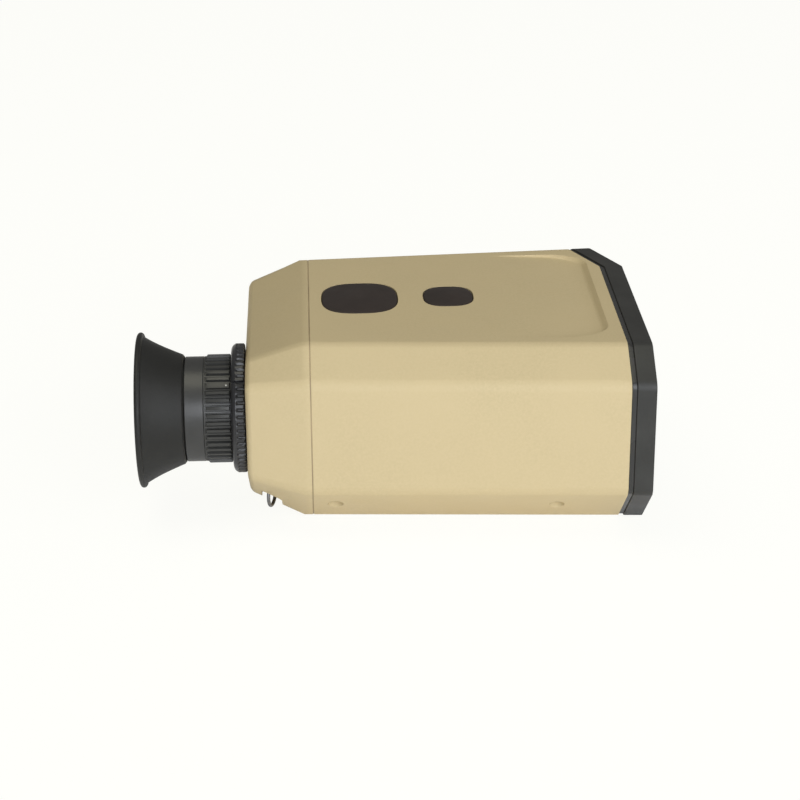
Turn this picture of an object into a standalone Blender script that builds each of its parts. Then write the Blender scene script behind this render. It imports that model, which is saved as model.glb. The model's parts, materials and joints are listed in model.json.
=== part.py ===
"""Handheld laser rangefinder with a side-by-side optical layout, as an assembly.

Metres, +Z up. +X points at the target, -Y is the user's right side. The origin is the middle
of the object's box in X and Y, and the flat base lies on Z = 0.
"""
import math

import bmesh
import bpy

# Lengths along the optical axis, from the eyecup to the front bezel.
EYEPIECE_REACH = 0.0276
REAR_LENGTH = 0.0163
MAIN_LENGTH = 0.0789
BEZEL_LENGTH = 0.0062
REAR_TAPER_LENGTH = 0.0140

# The housing's section where the bezel meets it. Half widths are at that station.
HEIGHT = 0.0506
SIDE_HALF = 0.0458
TOP_HALF = 0.0355
BOTTOM_HALF = 0.0298
RIDGE_DROP = 0.0071
LOWER_RISE = 0.0140
FLARE = 0.060
TOP_ROUND = 0.0045
RIDGE_ROUND = 0.0040
LOWER_ROUND = 0.0045
BOTTOM_ROUND = 0.0040
ROUND_STEPS = 2

# How far the rear housing narrows on its way to the rear face.
TAPER_SIDE = 0.0021
TAPER_TOP = 0.0056
TAPER_BOTTOM = 0.0060
TAPER_RIDGE = 0.0017
TAPER_LOWER = 0.0030
REAR_EDGE_ROUND = 0.0018

# The far front corner is cut off at an angle in plan.
CORNER_Y = 0.0202
CORNER_SLOPE = 0.468

# Walls, joints and clearances.
WALL = 0.0024
REAR_WALL = 0.0030
GAP = 0.0003
SEAM_GAP = 0.0003
GASKET_THICK = 0.0008
GASKET_INSET = 0.0005
REAR_GASKET_WIDTH = 0.0009
REAR_GASKET_THICK = 0.0009

# Shallow thumb recess in the top, a ramp that ends in a short slope.
RECESS_LENGTH = 0.0256
RECESS_FROM_BEZEL = 0.0032
RECESS_DEPTH = 0.0012
RECESS_SLOPE = 0.0013
RECESS_HALF = 0.0303

# Viewing axis, ranging receiver axis and laser emitter axis.
EYE_Y = -0.0200
OPTIC_Z = 0.0288
RECEIVER_Y = 0.0075
EMITTER_Y = -0.0062
EMITTER_Z = 0.0426

# Eyepiece, radii and lengths.
FLANGE_RADIUS = 0.01655
FLANGE_LENGTH = 0.0034
FLANGE_TEETH = 58
TOOTH_DEPTH = 0.00035
TOOTH_SHARE = 0.25
GRIP_RADIUS = 0.0139
GRIP_LENGTH = 0.0067
GRIP_RIBS = 44
RIB_HEIGHT = 0.0005
RIB_SHARE = 0.26
BARREL_RADIUS = 0.01345
BARREL_LENGTH = 0.0045
BARREL_WALL = 0.0011
EYECUP_BASE_RADIUS = 0.0139
EYECUP_RIM_RADIUS = 0.0199
EYECUP_WALL = 0.0020
TUBE_RADIUS = 0.0116
TUBE_WALL = 0.0010
CELL_WALL = 0.0011
COLLAR_RADIUS = 0.0132
COLLAR_LENGTH = 0.0020
TUBE_TAIL = 0.0090
TUBE_SHY = 0.0020
CELL_SHY = 0.0006
EYE_LENS = (0.0036, 0.0010)
FIELD_LENS = (0.0038, 0.0009)
EYE_LENS_DEPTH = 0.0010
FIELD_LENS_DEPTH = 0.0014
EYECUP_LIP = 0.0011
EYECUP_CURL = 0.20

# Buttons: half sizes, travel and how far they stand proud.
MEASURE_FROM_SEAM = 0.0133
MEASURE_HALF_X = 0.0100
MEASURE_HALF_Y = 0.0111
MODE_FROM_SEAM = 0.0365
MODE_HALF_X = 0.0066
MODE_HALF_Y = 0.0073
BUTTON_SQUARENESS = 2.8
BUTTON_TRAVEL = 0.0008
BUTTON_PROUD = 0.0006
BUTTON_FLANGE = 0.0009
BUTTON_FLANGE_THICK = 0.0012
SWITCH_HEIGHT = 0.0024
BOARD_THICK = 0.0012
BUTTON_STEM = 0.0016
BUTTON_STEM_HALF = 0.0022
BUTTON_EDGE = 0.0006
SWITCH_HALF = 0.0031
PLUNGER_HALF = 0.0016

# Battery bay on the far side: a 15.6 mm by 27 mm cell, loaded from the rear face.
BATTERY_Y = 0.0170
BATTERY_RADIUS = 0.0078
BATTERY_LENGTH = 0.0270
BATTERY_SLEEVE_WALL = 0.0010
CELL_NUB_RADIUS = 0.0030
CELL_NUB_HEIGHT = 0.0012
CELL_PLAY = 0.0010
SPRING_LENGTH = 0.0040
SPRING_WIRE = 0.0003
SPRING_RADII = (0.0042, 0.0060)
PLUG_RADIUS = 0.0096
PLUG_LENGTH = 0.0036
PLUG_SETBACK = 0.0002
PLUG_BOSS_LENGTH = 0.0040
KNOB_RADIUS = 0.0060
KNOB_LENGTH = 0.0014
KNOB_SHAFT_RADIUS = 0.0018
COIN_SLOT = (0.0010, 0.0090)
COIN_SLOT_DEPTH = 0.0009

# Front windows and their rings.
OBJECTIVE_RADIUS = 0.0122
RECEIVER_RADIUS = 0.0109
EMITTER_RADIUS = 0.0042
WINDOW_THICK = 0.0016
WINDOW_SHOULDER = 0.0010
RING_LENGTH = 0.0009
OPTIC_TUBE_WALL = 0.0010
OBJECTIVE_TUBE_LENGTH = 0.0280
RECEIVER_TUBE_LENGTH = 0.0330
LASER_TUBE_LENGTH = 0.0220
TUBE_SETBACK = 0.0030
PRISM_FRAME_LENGTH = 0.0250
PRISM_FRAME_HALF = 0.0102
PRISM_FRAME_WALL = 0.0012
PRISM_FRAME_LOW = 0.0106
PRISM_FRAME_HIGH = 0.0105
PRISM_FRAME_FROM_TUBE = 0.0015
PRISM_BELOW_RIM = 0.0010
DISPLAY_SIZE = (0.0016, 0.0180, 0.0170)
DISPLAY_FROM_PRISMS = 0.0010

# Internal chassis.
CHASSIS_Z = 0.0146
CHASSIS_THICK = 0.0015

# Screws: head and shank radii, and the counterbores that take them.
SCREW_HEAD_RADIUS = 0.0017
SCREW_HEAD_HEIGHT = 0.0018
SCREW_SHANK_RADIUS = 0.0010
SCREW_SOCKET_RADIUS = 0.0010
COUNTERBORE_RADIUS = 0.0020
CASE_SCREW_LENGTH = 0.0072
END_SCREW_LENGTH = 0.0080
CASE_SCREW_FROM_SEAM = 0.0057
CASE_SCREW_FROM_JOINT = 0.0170
CASE_SCREW_OUTBOARD = 0.0086
CASE_COUNTERBORE_DEPTH = 0.0124
CASE_BOSS_RADIUS = 0.0040
END_SCREW_Y = 0.0325
REAR_SCREW_Z = 0.0400
REAR_COLUMN_RADIUS = 0.0026
BEZEL_SCREW_NEAR = 0.0395

# Tripod socket for a quarter-inch camera screw.
TRIPOD_FROM_SEAM = 0.0306
TRIPOD_BORE_RADIUS = 0.003175
TRIPOD_INSERT_RADIUS = 0.0055
TRIPOD_INSERT_LENGTH = 0.0080
TRIPOD_BORE_DEPTH = 0.0068
TRIPOD_RECESS = 0.0002

# Strap slots in the bottom rear corners, with a pin and a wire ring in each.
SLOT_FROM_REAR = 0.0057
SLOT_WIDTH = 0.0052
SLOT_INNER_Y = 0.0190
SLOT_OUTER_Y = 0.0305
SLOT_ROOF = 0.0112
PIN_Y = 0.0235
PIN_Z = 0.0076
PIN_RADIUS = 0.0008
PIN_GRIP = 0.0010
STRAP_RING_RADIUS = 0.0032
STRAP_WIRE_RADIUS = 0.00045
STRAP_RING_LEAN = math.radians(16)
STRAP_RING_DROOP = math.radians(38)

# Stations along X that follow from the lengths.
X_FRONT = (EYEPIECE_REACH + REAR_LENGTH + MAIN_LENGTH + BEZEL_LENGTH) / 2
X_JOINT = X_FRONT - BEZEL_LENGTH
X_SEAM = X_JOINT - MAIN_LENGTH
X_REAR = X_SEAM - REAR_LENGTH
X_TAPER = X_REAR + REAR_TAPER_LENGTH
X_RIM = X_REAR - EYEPIECE_REACH
CEILING_Z = HEIGHT - WALL

OVERSHOOT = 0.002
MERGE = 0.00001
FINE = 32
ROUND = 24
SMALL = 14


def clear_scene():
    """Start from an empty scene."""
    for item in list(bpy.data.objects):
        bpy.data.objects.remove(item, do_unlink=True)


def collection(name):
    """A new collection linked to the scene."""
    group = bpy.data.collections.new(name)
    bpy.context.scene.collection.children.link(group)
    return group


clear_scene()
PARTS = collection("laser_rangefinder")
CUTTERS = collection("cutters")


def material(name, colour, roughness, metallic=0.0, transmission=0.0):
    """A Principled material."""
    made = bpy.data.materials.new(name)
    made.use_nodes = True
    shader = made.node_tree.nodes["Principled BSDF"]
    shader.inputs["Base Color"].default_value = (*colour, 1.0)
    shader.inputs["Roughness"].default_value = roughness
    shader.inputs["Metallic"].default_value = metallic
    shader.inputs["Transmission Weight"].default_value = transmission
    return made


SAND_PAINT = material("sand_paint", (0.62, 0.47, 0.28), 0.55)
BLACK_ARMOUR = material("black_armour", (0.045, 0.045, 0.042), 0.50)
BLACK_RUBBER = material("black_rubber", (0.030, 0.030, 0.030), 0.70)
BROWN_KEY = material("brown_key", (0.045, 0.031, 0.027), 0.45)
BLACK_METAL = material("black_metal", (0.030, 0.030, 0.032), 0.35, 0.9)
STEEL = material("steel", (0.45, 0.45, 0.46), 0.30, 1.0)
BRASS = material("brass", (0.65, 0.47, 0.20), 0.30, 1.0)
ALUMINIUM = material("aluminium", (0.60, 0.60, 0.62), 0.40, 1.0)
COATED_GLASS = material("coated_glass", (0.75, 0.82, 0.85), 0.03, 0.0, 0.9)
BOARD_GREEN = material("board_green", (0.02, 0.16, 0.07), 0.45)
CELL_WRAP = material("cell_wrap", (0.10, 0.14, 0.30), 0.35)


def finish(item, surface):
    """Give an object its material and put it with the parts, or with the cutters if it has none."""
    if surface is None:
        CUTTERS.objects.link(item)
        item.hide_render = True
        item.display_type = "WIRE"
        return item
    PARTS.objects.link(item)
    item.data.materials.append(surface)
    return item


def mesh_object(name, bm, surface):
    """Turn a bmesh into an object."""
    mesh = bpy.data.meshes.new(name)
    bm.to_mesh(mesh)
    bm.free()
    return finish(bpy.data.objects.new(name, mesh), surface)


def loft(name, rings, surface=None):
    """A closed solid through rings of matching points, with a flat face at each end."""
    bm = bmesh.new()
    made = [[bm.verts.new(point) for point in ring] for ring in rings]
    for before, after in zip(made, made[1:]):
        for i in range(len(before)):
            k = (i + 1) % len(before)
            bm.faces.new((before[i], before[k], after[k], after[i]))
    bm.faces.new(reversed(made[0]))
    bm.faces.new(made[-1])
    bmesh.ops.recalc_face_normals(bm, faces=bm.faces)
    return mesh_object(name, bm, surface)


def box(name, low, high, surface=None):
    """A block between two corners."""
    bm = bmesh.new()
    bmesh.ops.create_cube(bm, size=1.0)
    size = [high[k] - low[k] for k in range(3)]
    bmesh.ops.scale(bm, vec=size, verts=bm.verts)
    item = mesh_object(name, bm, surface)
    item.location = [(high[k] + low[k]) / 2 for k in range(3)]
    return item


TURNS = {
    "+X": (0, math.pi / 2, 0),
    "-X": (0, -math.pi / 2, 0),
    "+Z": (0, 0, 0),
    "-Z": (math.pi, 0, 0),
}


def turned(name, profile, centre, towards, surface=None, steps=ROUND, ring=False):
    """A turned solid. The profile is (radius, height) pairs down its outer side, top to bottom.

    Heights are measured from centre in the direction that towards names. A ring's profile
    goes on up its inner side and closes.
    """
    mesh = bpy.data.meshes.new(name)
    edges = [(i, i + 1) for i in range(len(profile) - 1)]
    if ring:
        edges.append((len(profile) - 1, 0))
    mesh.from_pydata([(radius, 0, height) for radius, height in profile], edges, [])
    item = finish(bpy.data.objects.new(name, mesh), surface)
    item.location = centre
    item.rotation_euler = TURNS[towards]
    spin = item.modifiers.new("turn", "SCREW")
    spin.axis = "Z"
    spin.steps = steps
    spin.render_steps = steps
    spin.use_merge_vertices = True
    spin.merge_threshold = MERGE
    spin.use_smooth_shade = True
    return item


def rod(name, radius, start, end, y, z, surface=None, steps=ROUND):
    """A plain cylinder along X."""
    profile = [(0, end - start), (radius, end - start), (radius, 0), (0, 0)]
    return turned(name, profile, (start, y, z), "+X", surface, steps)


def post(name, radius, low, high, x, y, surface=None, steps=SMALL):
    """A plain cylinder along Z."""
    profile = [(0, high - low), (radius, high - low), (radius, 0), (0, 0)]
    return turned(name, profile, (x, y, low), "+Z", surface, steps)


def stepped_bore(name, radius, head_radius, start, seat, end, y, z, steps):
    """A cutter along X for a hole with a wider counterbore from seat to end."""
    profile = [(0, end - start), (head_radius, end - start), (head_radius, seat - start),
               (radius, seat - start), (radius, 0), (0, 0)]
    return turned(name, profile, (start, y, z), "+X", None, steps)


def pipe(name, outer, inner, start, end, y, z, surface, steps=ROUND):
    """A plain tube along X."""
    length = end - start
    profile = [(outer, length), (outer, 0), (inner, 0), (inner, length)]
    return turned(name, profile, (start, y, z), "+X", surface, steps, ring=True)


def join(target, other):
    """Join other onto target."""
    change = target.modifiers.new(other.name, "BOOLEAN")
    change.operation = "UNION"
    change.object = other
    change.solver = "EXACT"
    return target


def cut(target, *cutters):
    """Cut all of the cutters out of target in one step. They get a collection of their own."""
    name = target.name + "_cuts"
    group = bpy.data.collections.get(name)
    if group is None:
        group = bpy.data.collections.new(name)
        CUTTERS.children.link(group)
        change = target.modifiers.new("cuts", "BOOLEAN")
        change.operation = "DIFFERENCE"
        change.operand_type = "COLLECTION"
        change.collection = group
        change.solver = "EXACT"
    for cutter in cutters:
        CUTTERS.objects.unlink(cutter)
        group.objects.link(cutter)
    return target


def shrink_outline(points, distance):
    """Move every side of a clockwise or anticlockwise outline inwards."""
    count = len(points)
    area = sum(points[i][0] * points[(i + 1) % count][1] - points[(i + 1) % count][0] * points[i][1]
               for i in range(count))
    turn = 1.0 if area > 0 else -1.0
    lines = []
    for i in range(count):
        (ay, az), (by, bz) = points[i], points[(i + 1) % count]
        length = math.hypot(by - ay, bz - az)
        dy, dz = (by - ay) / length, (bz - az) / length
        lines.append((ay - turn * dz * distance, az + turn * dy * distance, dy, dz))
    moved = []
    for i in range(count):
        ay, az, ady, adz = lines[i - 1]
        by, bz, bdy, bdz = lines[i]
        along = ((by - ay) * bdz - (bz - az) * bdy) / (ady * bdz - adz * bdy)
        moved.append((ay + along * ady, az + along * adz))
    return moved


def round_outline(points, radii, steps):
    """Replace each corner by an arc of its own radius."""
    rounded = []
    count = len(points)
    for i in range(count):
        (py, pz), (cy, cz), (ny, nz) = points[i - 1], points[i], points[(i + 1) % count]
        back = math.hypot(py - cy, pz - cz)
        ahead = math.hypot(ny - cy, nz - cz)
        uy, uz = (py - cy) / back, (pz - cz) / back
        vy, vz = (ny - cy) / ahead, (nz - cz) / ahead
        half = math.acos(max(-1.0, min(1.0, uy * vy + uz * vz))) / 2
        reach = min(radii[i] / math.tan(half), 0.45 * back, 0.45 * ahead)
        radius = reach * math.tan(half)
        my, mz = uy + vy, uz + vz
        size = math.hypot(my, mz)
        far = radius / math.sin(half)
        oy, oz = cy + my / size * far, cz + mz / size * far
        first = math.atan2(cz + uz * reach - oz, cy + uy * reach - oy)
        last = math.atan2(cz + vz * reach - oz, cy + vy * reach - oy)
        sweep = (last - first + math.pi) % (2 * math.pi) - math.pi
        for k in range(steps + 1):
            angle = first + sweep * k / steps
            rounded.append((oy + radius * math.cos(angle), oz + radius * math.sin(angle)))
    return rounded


def section(x, inset=0.0):
    """The housing's rounded outline at a station, moved in by inset."""
    narrower = FLARE * (X_JOINT - x)
    share = max(0.0, (X_TAPER - x) / REAR_TAPER_LENGTH)
    narrower += TAPER_SIDE * share
    low, high = TAPER_BOTTOM * share, HEIGHT - TAPER_TOP * share
    lower = LOWER_RISE + TAPER_LOWER * share
    ridge = HEIGHT - RIDGE_DROP - TAPER_RIDGE * share
    half = [(BOTTOM_HALF - narrower, low), (SIDE_HALF - narrower, lower),
            (SIDE_HALF - narrower, ridge), (TOP_HALF - narrower, high)]
    points = half + [(-y, z) for y, z in reversed(half)]
    rounds = [BOTTOM_ROUND, LOWER_ROUND, RIDGE_ROUND, TOP_ROUND]
    radii = [max(radius - inset, 0.0008) for radius in rounds + rounds[::-1]]
    outline = round_outline(shrink_outline(points, inset), radii, ROUND_STEPS)
    return [(x, y, z) for y, z in outline]


def corner_shift(y):
    """How far back the angled front corner has come at a distance from the middle."""
    return CORNER_SLOPE * max(0.0, y - CORNER_Y)


def corner_block(name, x):
    """The wedge that the angled corner takes off a body whose flat front is at x."""
    reach, lead = SIDE_HALF + 0.02, 0.005
    outline = [(x + CORNER_SLOPE * lead, CORNER_Y - lead), (x - corner_shift(reach), reach),
               (x + 0.02, reach), (x + 0.02, CORNER_Y - lead)]
    rings = [[(px, py, z) for px, py in outline] for z in (-0.02, HEIGHT + 0.02)]
    return loft(name, rings)


def front_block(name, start, end, inset, surface=None):
    """A stretch of the housing's outer form that ends in the angled front."""
    block = loft(name, [section(start, inset), section(end, inset)], surface)
    return cut(block, corner_block(name + "_corner", end))


def make_screw(name, centre, towards, length, surface=STEEL):
    """A cap screw whose head top is at centre, pointing against towards, with a hex socket."""
    profile = [(0, 0), (SCREW_HEAD_RADIUS, 0), (SCREW_HEAD_RADIUS, -SCREW_HEAD_HEIGHT),
               (SCREW_SHANK_RADIUS, -SCREW_HEAD_HEIGHT), (SCREW_SHANK_RADIUS, -length), (0, -length)]
    screw = turned(name, profile, centre, towards, surface, SMALL)
    depth = SCREW_HEAD_HEIGHT * 0.6
    hexagon = [(0, OVERSHOOT), (SCREW_SOCKET_RADIUS, OVERSHOOT), (SCREW_SOCKET_RADIUS, -depth), (0, -depth)]
    return cut(screw, turned(name + "_socket", hexagon, centre, towards, steps=6))


def case_screw_places():
    """The four screws that come up through the bottom chamfers: station and Y."""
    places = []
    for x in (X_SEAM + CASE_SCREW_FROM_SEAM, X_JOINT - CASE_SCREW_FROM_JOINT):
        y = BOTTOM_HALF - FLARE * (X_JOINT - x) + CASE_SCREW_OUTBOARD
        places += [(x, -y), (x, y)]
    return places


def button_outline(half_x, half_y, centre_x, z, count=28):
    """A superellipse in a level plane."""
    power = 2 / BUTTON_SQUARENESS
    ring = []
    for i in range(count):
        angle = 2 * math.pi * i / count
        c, s = math.cos(angle), math.sin(angle)
        ring.append((centre_x + half_x * math.copysign(abs(c) ** power, c),
                     half_y * math.copysign(abs(s) ** power, s), z))
    return ring


MEASURE_X = X_SEAM + MEASURE_FROM_SEAM
MODE_X = X_SEAM + MODE_FROM_SEAM
TRIPOD_X = X_SEAM + TRIPOD_FROM_SEAM
SLOT_X = X_REAR + SLOT_FROM_REAR
BOARD_TOP_Z = (CEILING_Z - GAP - BUTTON_FLANGE_THICK - BUTTON_STEM - BUTTON_TRAVEL - GAP - SWITCH_HEIGHT)
TRIPOD_ROOF = TRIPOD_RECESS + TRIPOD_INSERT_LENGTH + GAP
BATTERY_SLEEVE_RADIUS = BATTERY_RADIUS + GAP + BATTERY_SLEEVE_WALL
BOARD_POST_X = (MEASURE_X + MEASURE_HALF_X + MODE_X - MODE_HALF_X) / 2
BOARD_POST_Y = 0.0095
BOARD_POST_RADIUS = 0.0016
REAR_BOSS_LENGTH = 0.0070
BOSS_HALF = 0.0030
BEZEL_BACK = GAP + GASKET_THICK + GAP
END_SEAT = 0.0024


def main_cavity():
    """The hollow of the main housing, which leaves the bosses standing."""
    hollow = loft("main_cavity", [section(X_SEAM - OVERSHOOT, WALL), section(X_FRONT, WALL)])
    for i, (x, y) in enumerate(case_screw_places()):
        boss = post(f"case_boss_{i}", CASE_BOSS_RADIUS, -OVERSHOOT, CHASSIS_Z - GAP, x, y)
        cut(hollow, boss)
    cut(hollow, post("tripod_boss", TRIPOD_INSERT_RADIUS + GAP + WALL, -OVERSHOOT,
                     TRIPOD_ROOF + WALL, TRIPOD_X, 0, steps=ROUND))
    for side in (-1, 1):
        name = "near" if side < 0 else "far"
        cut(hollow, post(f"board_post_{name}", BOARD_POST_RADIUS, BOARD_TOP_Z + GAP, HEIGHT + OVERSHOOT,
                         BOARD_POST_X, side * BOARD_POST_Y))
        inner, outer = END_SCREW_Y - BOSS_HALF, SIDE_HALF + OVERSHOOT
        low_y, high_y = sorted((side * inner, side * outer))
        cut(hollow, box(f"rear_boss_{name}", (X_SEAM - 2 * OVERSHOOT, low_y, REAR_SCREW_Z - BOSS_HALF),
                        (X_SEAM + REAR_BOSS_LENGTH, high_y, HEIGHT)))
        screw_y = -BEZEL_SCREW_NEAR if side < 0 else END_SCREW_Y
        low_y, high_y = sorted((screw_y - side * BOSS_HALF, side * outer))
        start = X_JOINT - corner_shift(screw_y) - REAR_BOSS_LENGTH
        cut(hollow, box(f"bezel_boss_{name}", (start, low_y, OPTIC_Z - BOSS_HALF),
                        (X_FRONT + OVERSHOOT, high_y, OPTIC_Z + BOSS_HALF)))
    return hollow


def main_housing():
    """The long painted shell between the rear seam and the bezel."""
    start = X_SEAM + SEAM_GAP / 2
    shell = front_block("main_housing", start, X_JOINT, 0.0, SAND_PAINT)
    cut(shell, main_cavity())
    rim = section(X_SEAM, WALL - REAR_GASKET_WIDTH - GAP)
    deep = X_SEAM + SEAM_GAP / 2 + REAR_GASKET_THICK + GAP
    cut(shell, loft("rear_gasket_groove", [[(X_SEAM - OVERSHOOT, y, z) for _, y, z in rim],
                                           [(deep, y, z) for _, y, z in rim]]))
    recess_end = X_JOINT - RECESS_FROM_BEZEL
    wedge = [(recess_end - RECESS_LENGTH, HEIGHT), (recess_end - RECESS_SLOPE, HEIGHT - RECESS_DEPTH),
             (recess_end, HEIGHT), (recess_end, HEIGHT + OVERSHOOT),
             (recess_end - RECESS_LENGTH, HEIGHT + OVERSHOOT)]
    cut(shell, loft("thumb_recess", [[(x, y, z) for x, z in wedge] for y in (-RECESS_HALF, RECESS_HALF)]))
    for name, x, half_x, half_y in (("measure", MEASURE_X, MEASURE_HALF_X, MEASURE_HALF_Y),
                                    ("mode", MODE_X, MODE_HALF_X, MODE_HALF_Y)):
        rings = [button_outline(half_x + GAP, half_y + GAP, x, z)
                 for z in (CEILING_Z - OVERSHOOT, HEIGHT + OVERSHOOT)]
        cut(shell, loft(f"{name}_opening", rings))
    for i, (x, y) in enumerate(case_screw_places()):
        seat, top = CASE_COUNTERBORE_DEPTH, CHASSIS_Z + OVERSHOOT
        profile = [(0, OVERSHOOT), (COUNTERBORE_RADIUS, OVERSHOOT), (COUNTERBORE_RADIUS, -seat),
                   (SCREW_SHANK_RADIUS + GAP, -seat), (SCREW_SHANK_RADIUS + GAP, -top), (0, -top)]
        cut(shell, turned(f"case_bore_{i}", profile, (x, y, 0), "-Z", None, SMALL))
    cut(shell, post("tripod_pocket", TRIPOD_INSERT_RADIUS + GAP, -OVERSHOOT, TRIPOD_ROOF,
                    TRIPOD_X, 0, steps=ROUND))
    for side, name in ((-1, "near"), (1, "far")):
        cut(shell, rod(f"rear_thread_{name}", SCREW_SHANK_RADIUS + GAP, X_SEAM - OVERSHOOT,
                       X_SEAM + REAR_BOSS_LENGTH + OVERSHOOT, side * END_SCREW_Y, REAR_SCREW_Z, steps=12))
        screw_y = -BEZEL_SCREW_NEAR if side < 0 else END_SCREW_Y
        start = X_JOINT - corner_shift(screw_y) - REAR_BOSS_LENGTH
        cut(shell, rod(f"bezel_thread_{name}", SCREW_SHANK_RADIUS + GAP, start - OVERSHOOT,
                       X_FRONT + OVERSHOOT, screw_y, OPTIC_Z, steps=12))
    return shell


def rear_screw_bore(name, y):
    """The counterbored hole that a rear screw goes in by, open at the rear face."""
    depth = X_SEAM - X_REAR + OVERSHOOT
    profile = [(0, OVERSHOOT), (COUNTERBORE_RADIUS, OVERSHOOT), (COUNTERBORE_RADIUS, -END_SEAT),
               (SCREW_SHANK_RADIUS + GAP, -END_SEAT), (SCREW_SHANK_RADIUS + GAP, -depth), (0, -depth)]
    return turned(f"rear_bore_{name}", profile, (X_REAR, y, REAR_SCREW_Z), "-X", None, SMALL)


def rear_housing():
    """The tapered rear shell, with the eyepiece and battery holes in its rear wall."""
    rings = []
    for k in range(ROUND_STEPS + 1):
        angle = math.pi / 2 * k / ROUND_STEPS
        inset = REAR_EDGE_ROUND * (1 - math.sin(angle))
        rings.append(section(X_REAR + REAR_EDGE_ROUND * (1 - math.cos(angle)), inset))
    rings += [section(X_TAPER), section(X_SEAM - SEAM_GAP / 2)]
    shell = loft("rear_housing", rings, SAND_PAINT)
    hollow = loft("rear_cavity", [section(X_REAR + REAR_WALL, WALL), section(X_TAPER, WALL),
                                  section(X_SEAM + OVERSHOOT, WALL)])
    for side, name in ((-1, "near"), (1, "far")):
        low_y, high_y = sorted((side * (SLOT_INNER_Y - WALL), side * (SLOT_OUTER_Y + 2 * WALL)))
        reach = SLOT_WIDTH / 2 + PIN_GRIP + WALL / 2
        cut(hollow, box(f"slot_boss_{name}", (SLOT_X - reach, low_y, -OVERSHOOT),
                        (SLOT_X + reach, high_y, SLOT_ROOF + WALL)))
        cut(hollow, rod(f"rear_column_{name}", REAR_COLUMN_RADIUS, X_REAR, X_SEAM + 2 * OVERSHOOT,
                        side * END_SCREW_Y, REAR_SCREW_Z, steps=SMALL))
    cut(shell, hollow)
    for side, name in ((-1, "near"), (1, "far")):
        low_y, high_y = sorted((side * SLOT_INNER_Y, side * SLOT_OUTER_Y))
        cut(shell, box(f"strap_slot_{name}", (SLOT_X - SLOT_WIDTH / 2, low_y, -OVERSHOOT),
                       (SLOT_X + SLOT_WIDTH / 2, high_y, SLOT_ROOF)),
            rod(f"pin_hole_{name}", PIN_RADIUS + GAP / 2, SLOT_X - SLOT_WIDTH / 2 - PIN_GRIP,
                SLOT_X + SLOT_WIDTH / 2 + PIN_GRIP, side * PIN_Y, PIN_Z, steps=12),
            rear_screw_bore(name, side * END_SCREW_Y))
    cut(shell, rod("eyepiece_hole", TUBE_RADIUS + GAP, X_REAR - OVERSHOOT, X_REAR + 2 * REAR_WALL,
                   EYE_Y, OPTIC_Z, steps=FINE),
        rod("battery_hole", PLUG_RADIUS + GAP, X_REAR - OVERSHOOT, X_REAR + 2 * REAR_WALL,
            BATTERY_Y, OPTIC_Z, steps=ROUND))
    return shell


def gaskets():
    """The flat seals at the bezel joint and in the rear seam."""
    seal = front_block("front_gasket", X_JOINT - 0.012, X_JOINT + GAP + GASKET_THICK, GASKET_INSET,
                       BLACK_RUBBER)
    behind = front_block("front_gasket_back", X_JOINT - 0.020, X_JOINT + GAP, -OVERSHOOT)
    inside = loft("front_gasket_inside", [section(X_JOINT - 0.022, WALL), section(X_FRONT, WALL)])
    cut(seal, behind, inside)
    for side, name in ((-1, "near"), (1, "far")):
        screw_y = -BEZEL_SCREW_NEAR if side < 0 else END_SCREW_Y
        cut(seal, rod(f"gasket_relief_{name}", SCREW_SHANK_RADIUS + GAP, X_JOINT - 0.022, X_FRONT,
                      screw_y, OPTIC_Z, steps=12))
    start = X_SEAM + SEAM_GAP / 2 + GAP / 2
    rear = loft("rear_gasket", [section(x, WALL - REAR_GASKET_WIDTH)
                                for x in (start, start + REAR_GASKET_THICK)], BLACK_RUBBER)
    cut(rear, loft("rear_gasket_inside", [section(x, WALL) for x in (X_SEAM - OVERSHOOT, X_SEAM + 0.004)]))


WINDOWS = (
    ("objective", EYE_Y, OPTIC_Z, OBJECTIVE_RADIUS, FINE),
    ("receiver", RECEIVER_Y, OPTIC_Z, RECEIVER_RADIUS, FINE),
    ("emitter", EMITTER_Y, EMITTER_Z, EMITTER_RADIUS, SMALL),
)


def front_bezel():
    """The black cover over the front end, bored for its three windows and two screws."""
    cover = front_block("front_bezel", X_JOINT - 0.014, X_FRONT, 0.0, BLACK_ARMOUR)
    cut(cover, front_block("bezel_back", X_JOINT - 0.022, X_JOINT + BEZEL_BACK, -OVERSHOOT))
    seat = X_FRONT - RING_LENGTH - WINDOW_THICK - 3 * GAP
    for name, y, z, radius, steps in WINDOWS:
        cut(cover, stepped_bore(f"{name}_bore", radius - WINDOW_SHOULDER, radius + GAP,
                                X_JOINT - OVERSHOOT, seat, X_FRONT + OVERSHOOT, y, z, steps))
    for side, name in ((-1, "near"), (1, "far")):
        screw_y = -BEZEL_SCREW_NEAR if side < 0 else END_SCREW_Y
        seat_x = X_FRONT - END_SEAT - corner_shift(screw_y)
        cut(cover, stepped_bore(f"bezel_screw_bore_{name}", SCREW_SHANK_RADIUS + GAP, COUNTERBORE_RADIUS,
                                X_JOINT - 0.022, seat_x, X_FRONT + OVERSHOOT, screw_y, OPTIC_Z, SMALL))
        make_screw(f"bezel_screw_{name}", (seat_x + GAP + SCREW_HEAD_HEIGHT, screw_y, OPTIC_Z), "+X",
                   END_SCREW_LENGTH)


def windows():
    """The three coated windows, and the threaded rings that hold the two large ones."""
    seat = X_FRONT - RING_LENGTH - WINDOW_THICK - 3 * GAP
    for name, y, z, radius, steps in WINDOWS:
        start = seat + GAP
        rod(f"{name}_window", radius, start, start + WINDOW_THICK, y, z, COATED_GLASS, steps)
        if name != "emitter":
            start += WINDOW_THICK + GAP
            pipe(f"{name}_ring", radius, radius - WINDOW_SHOULDER, start, start + RING_LENGTH, y, z,
                 BLACK_METAL, steps)


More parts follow.
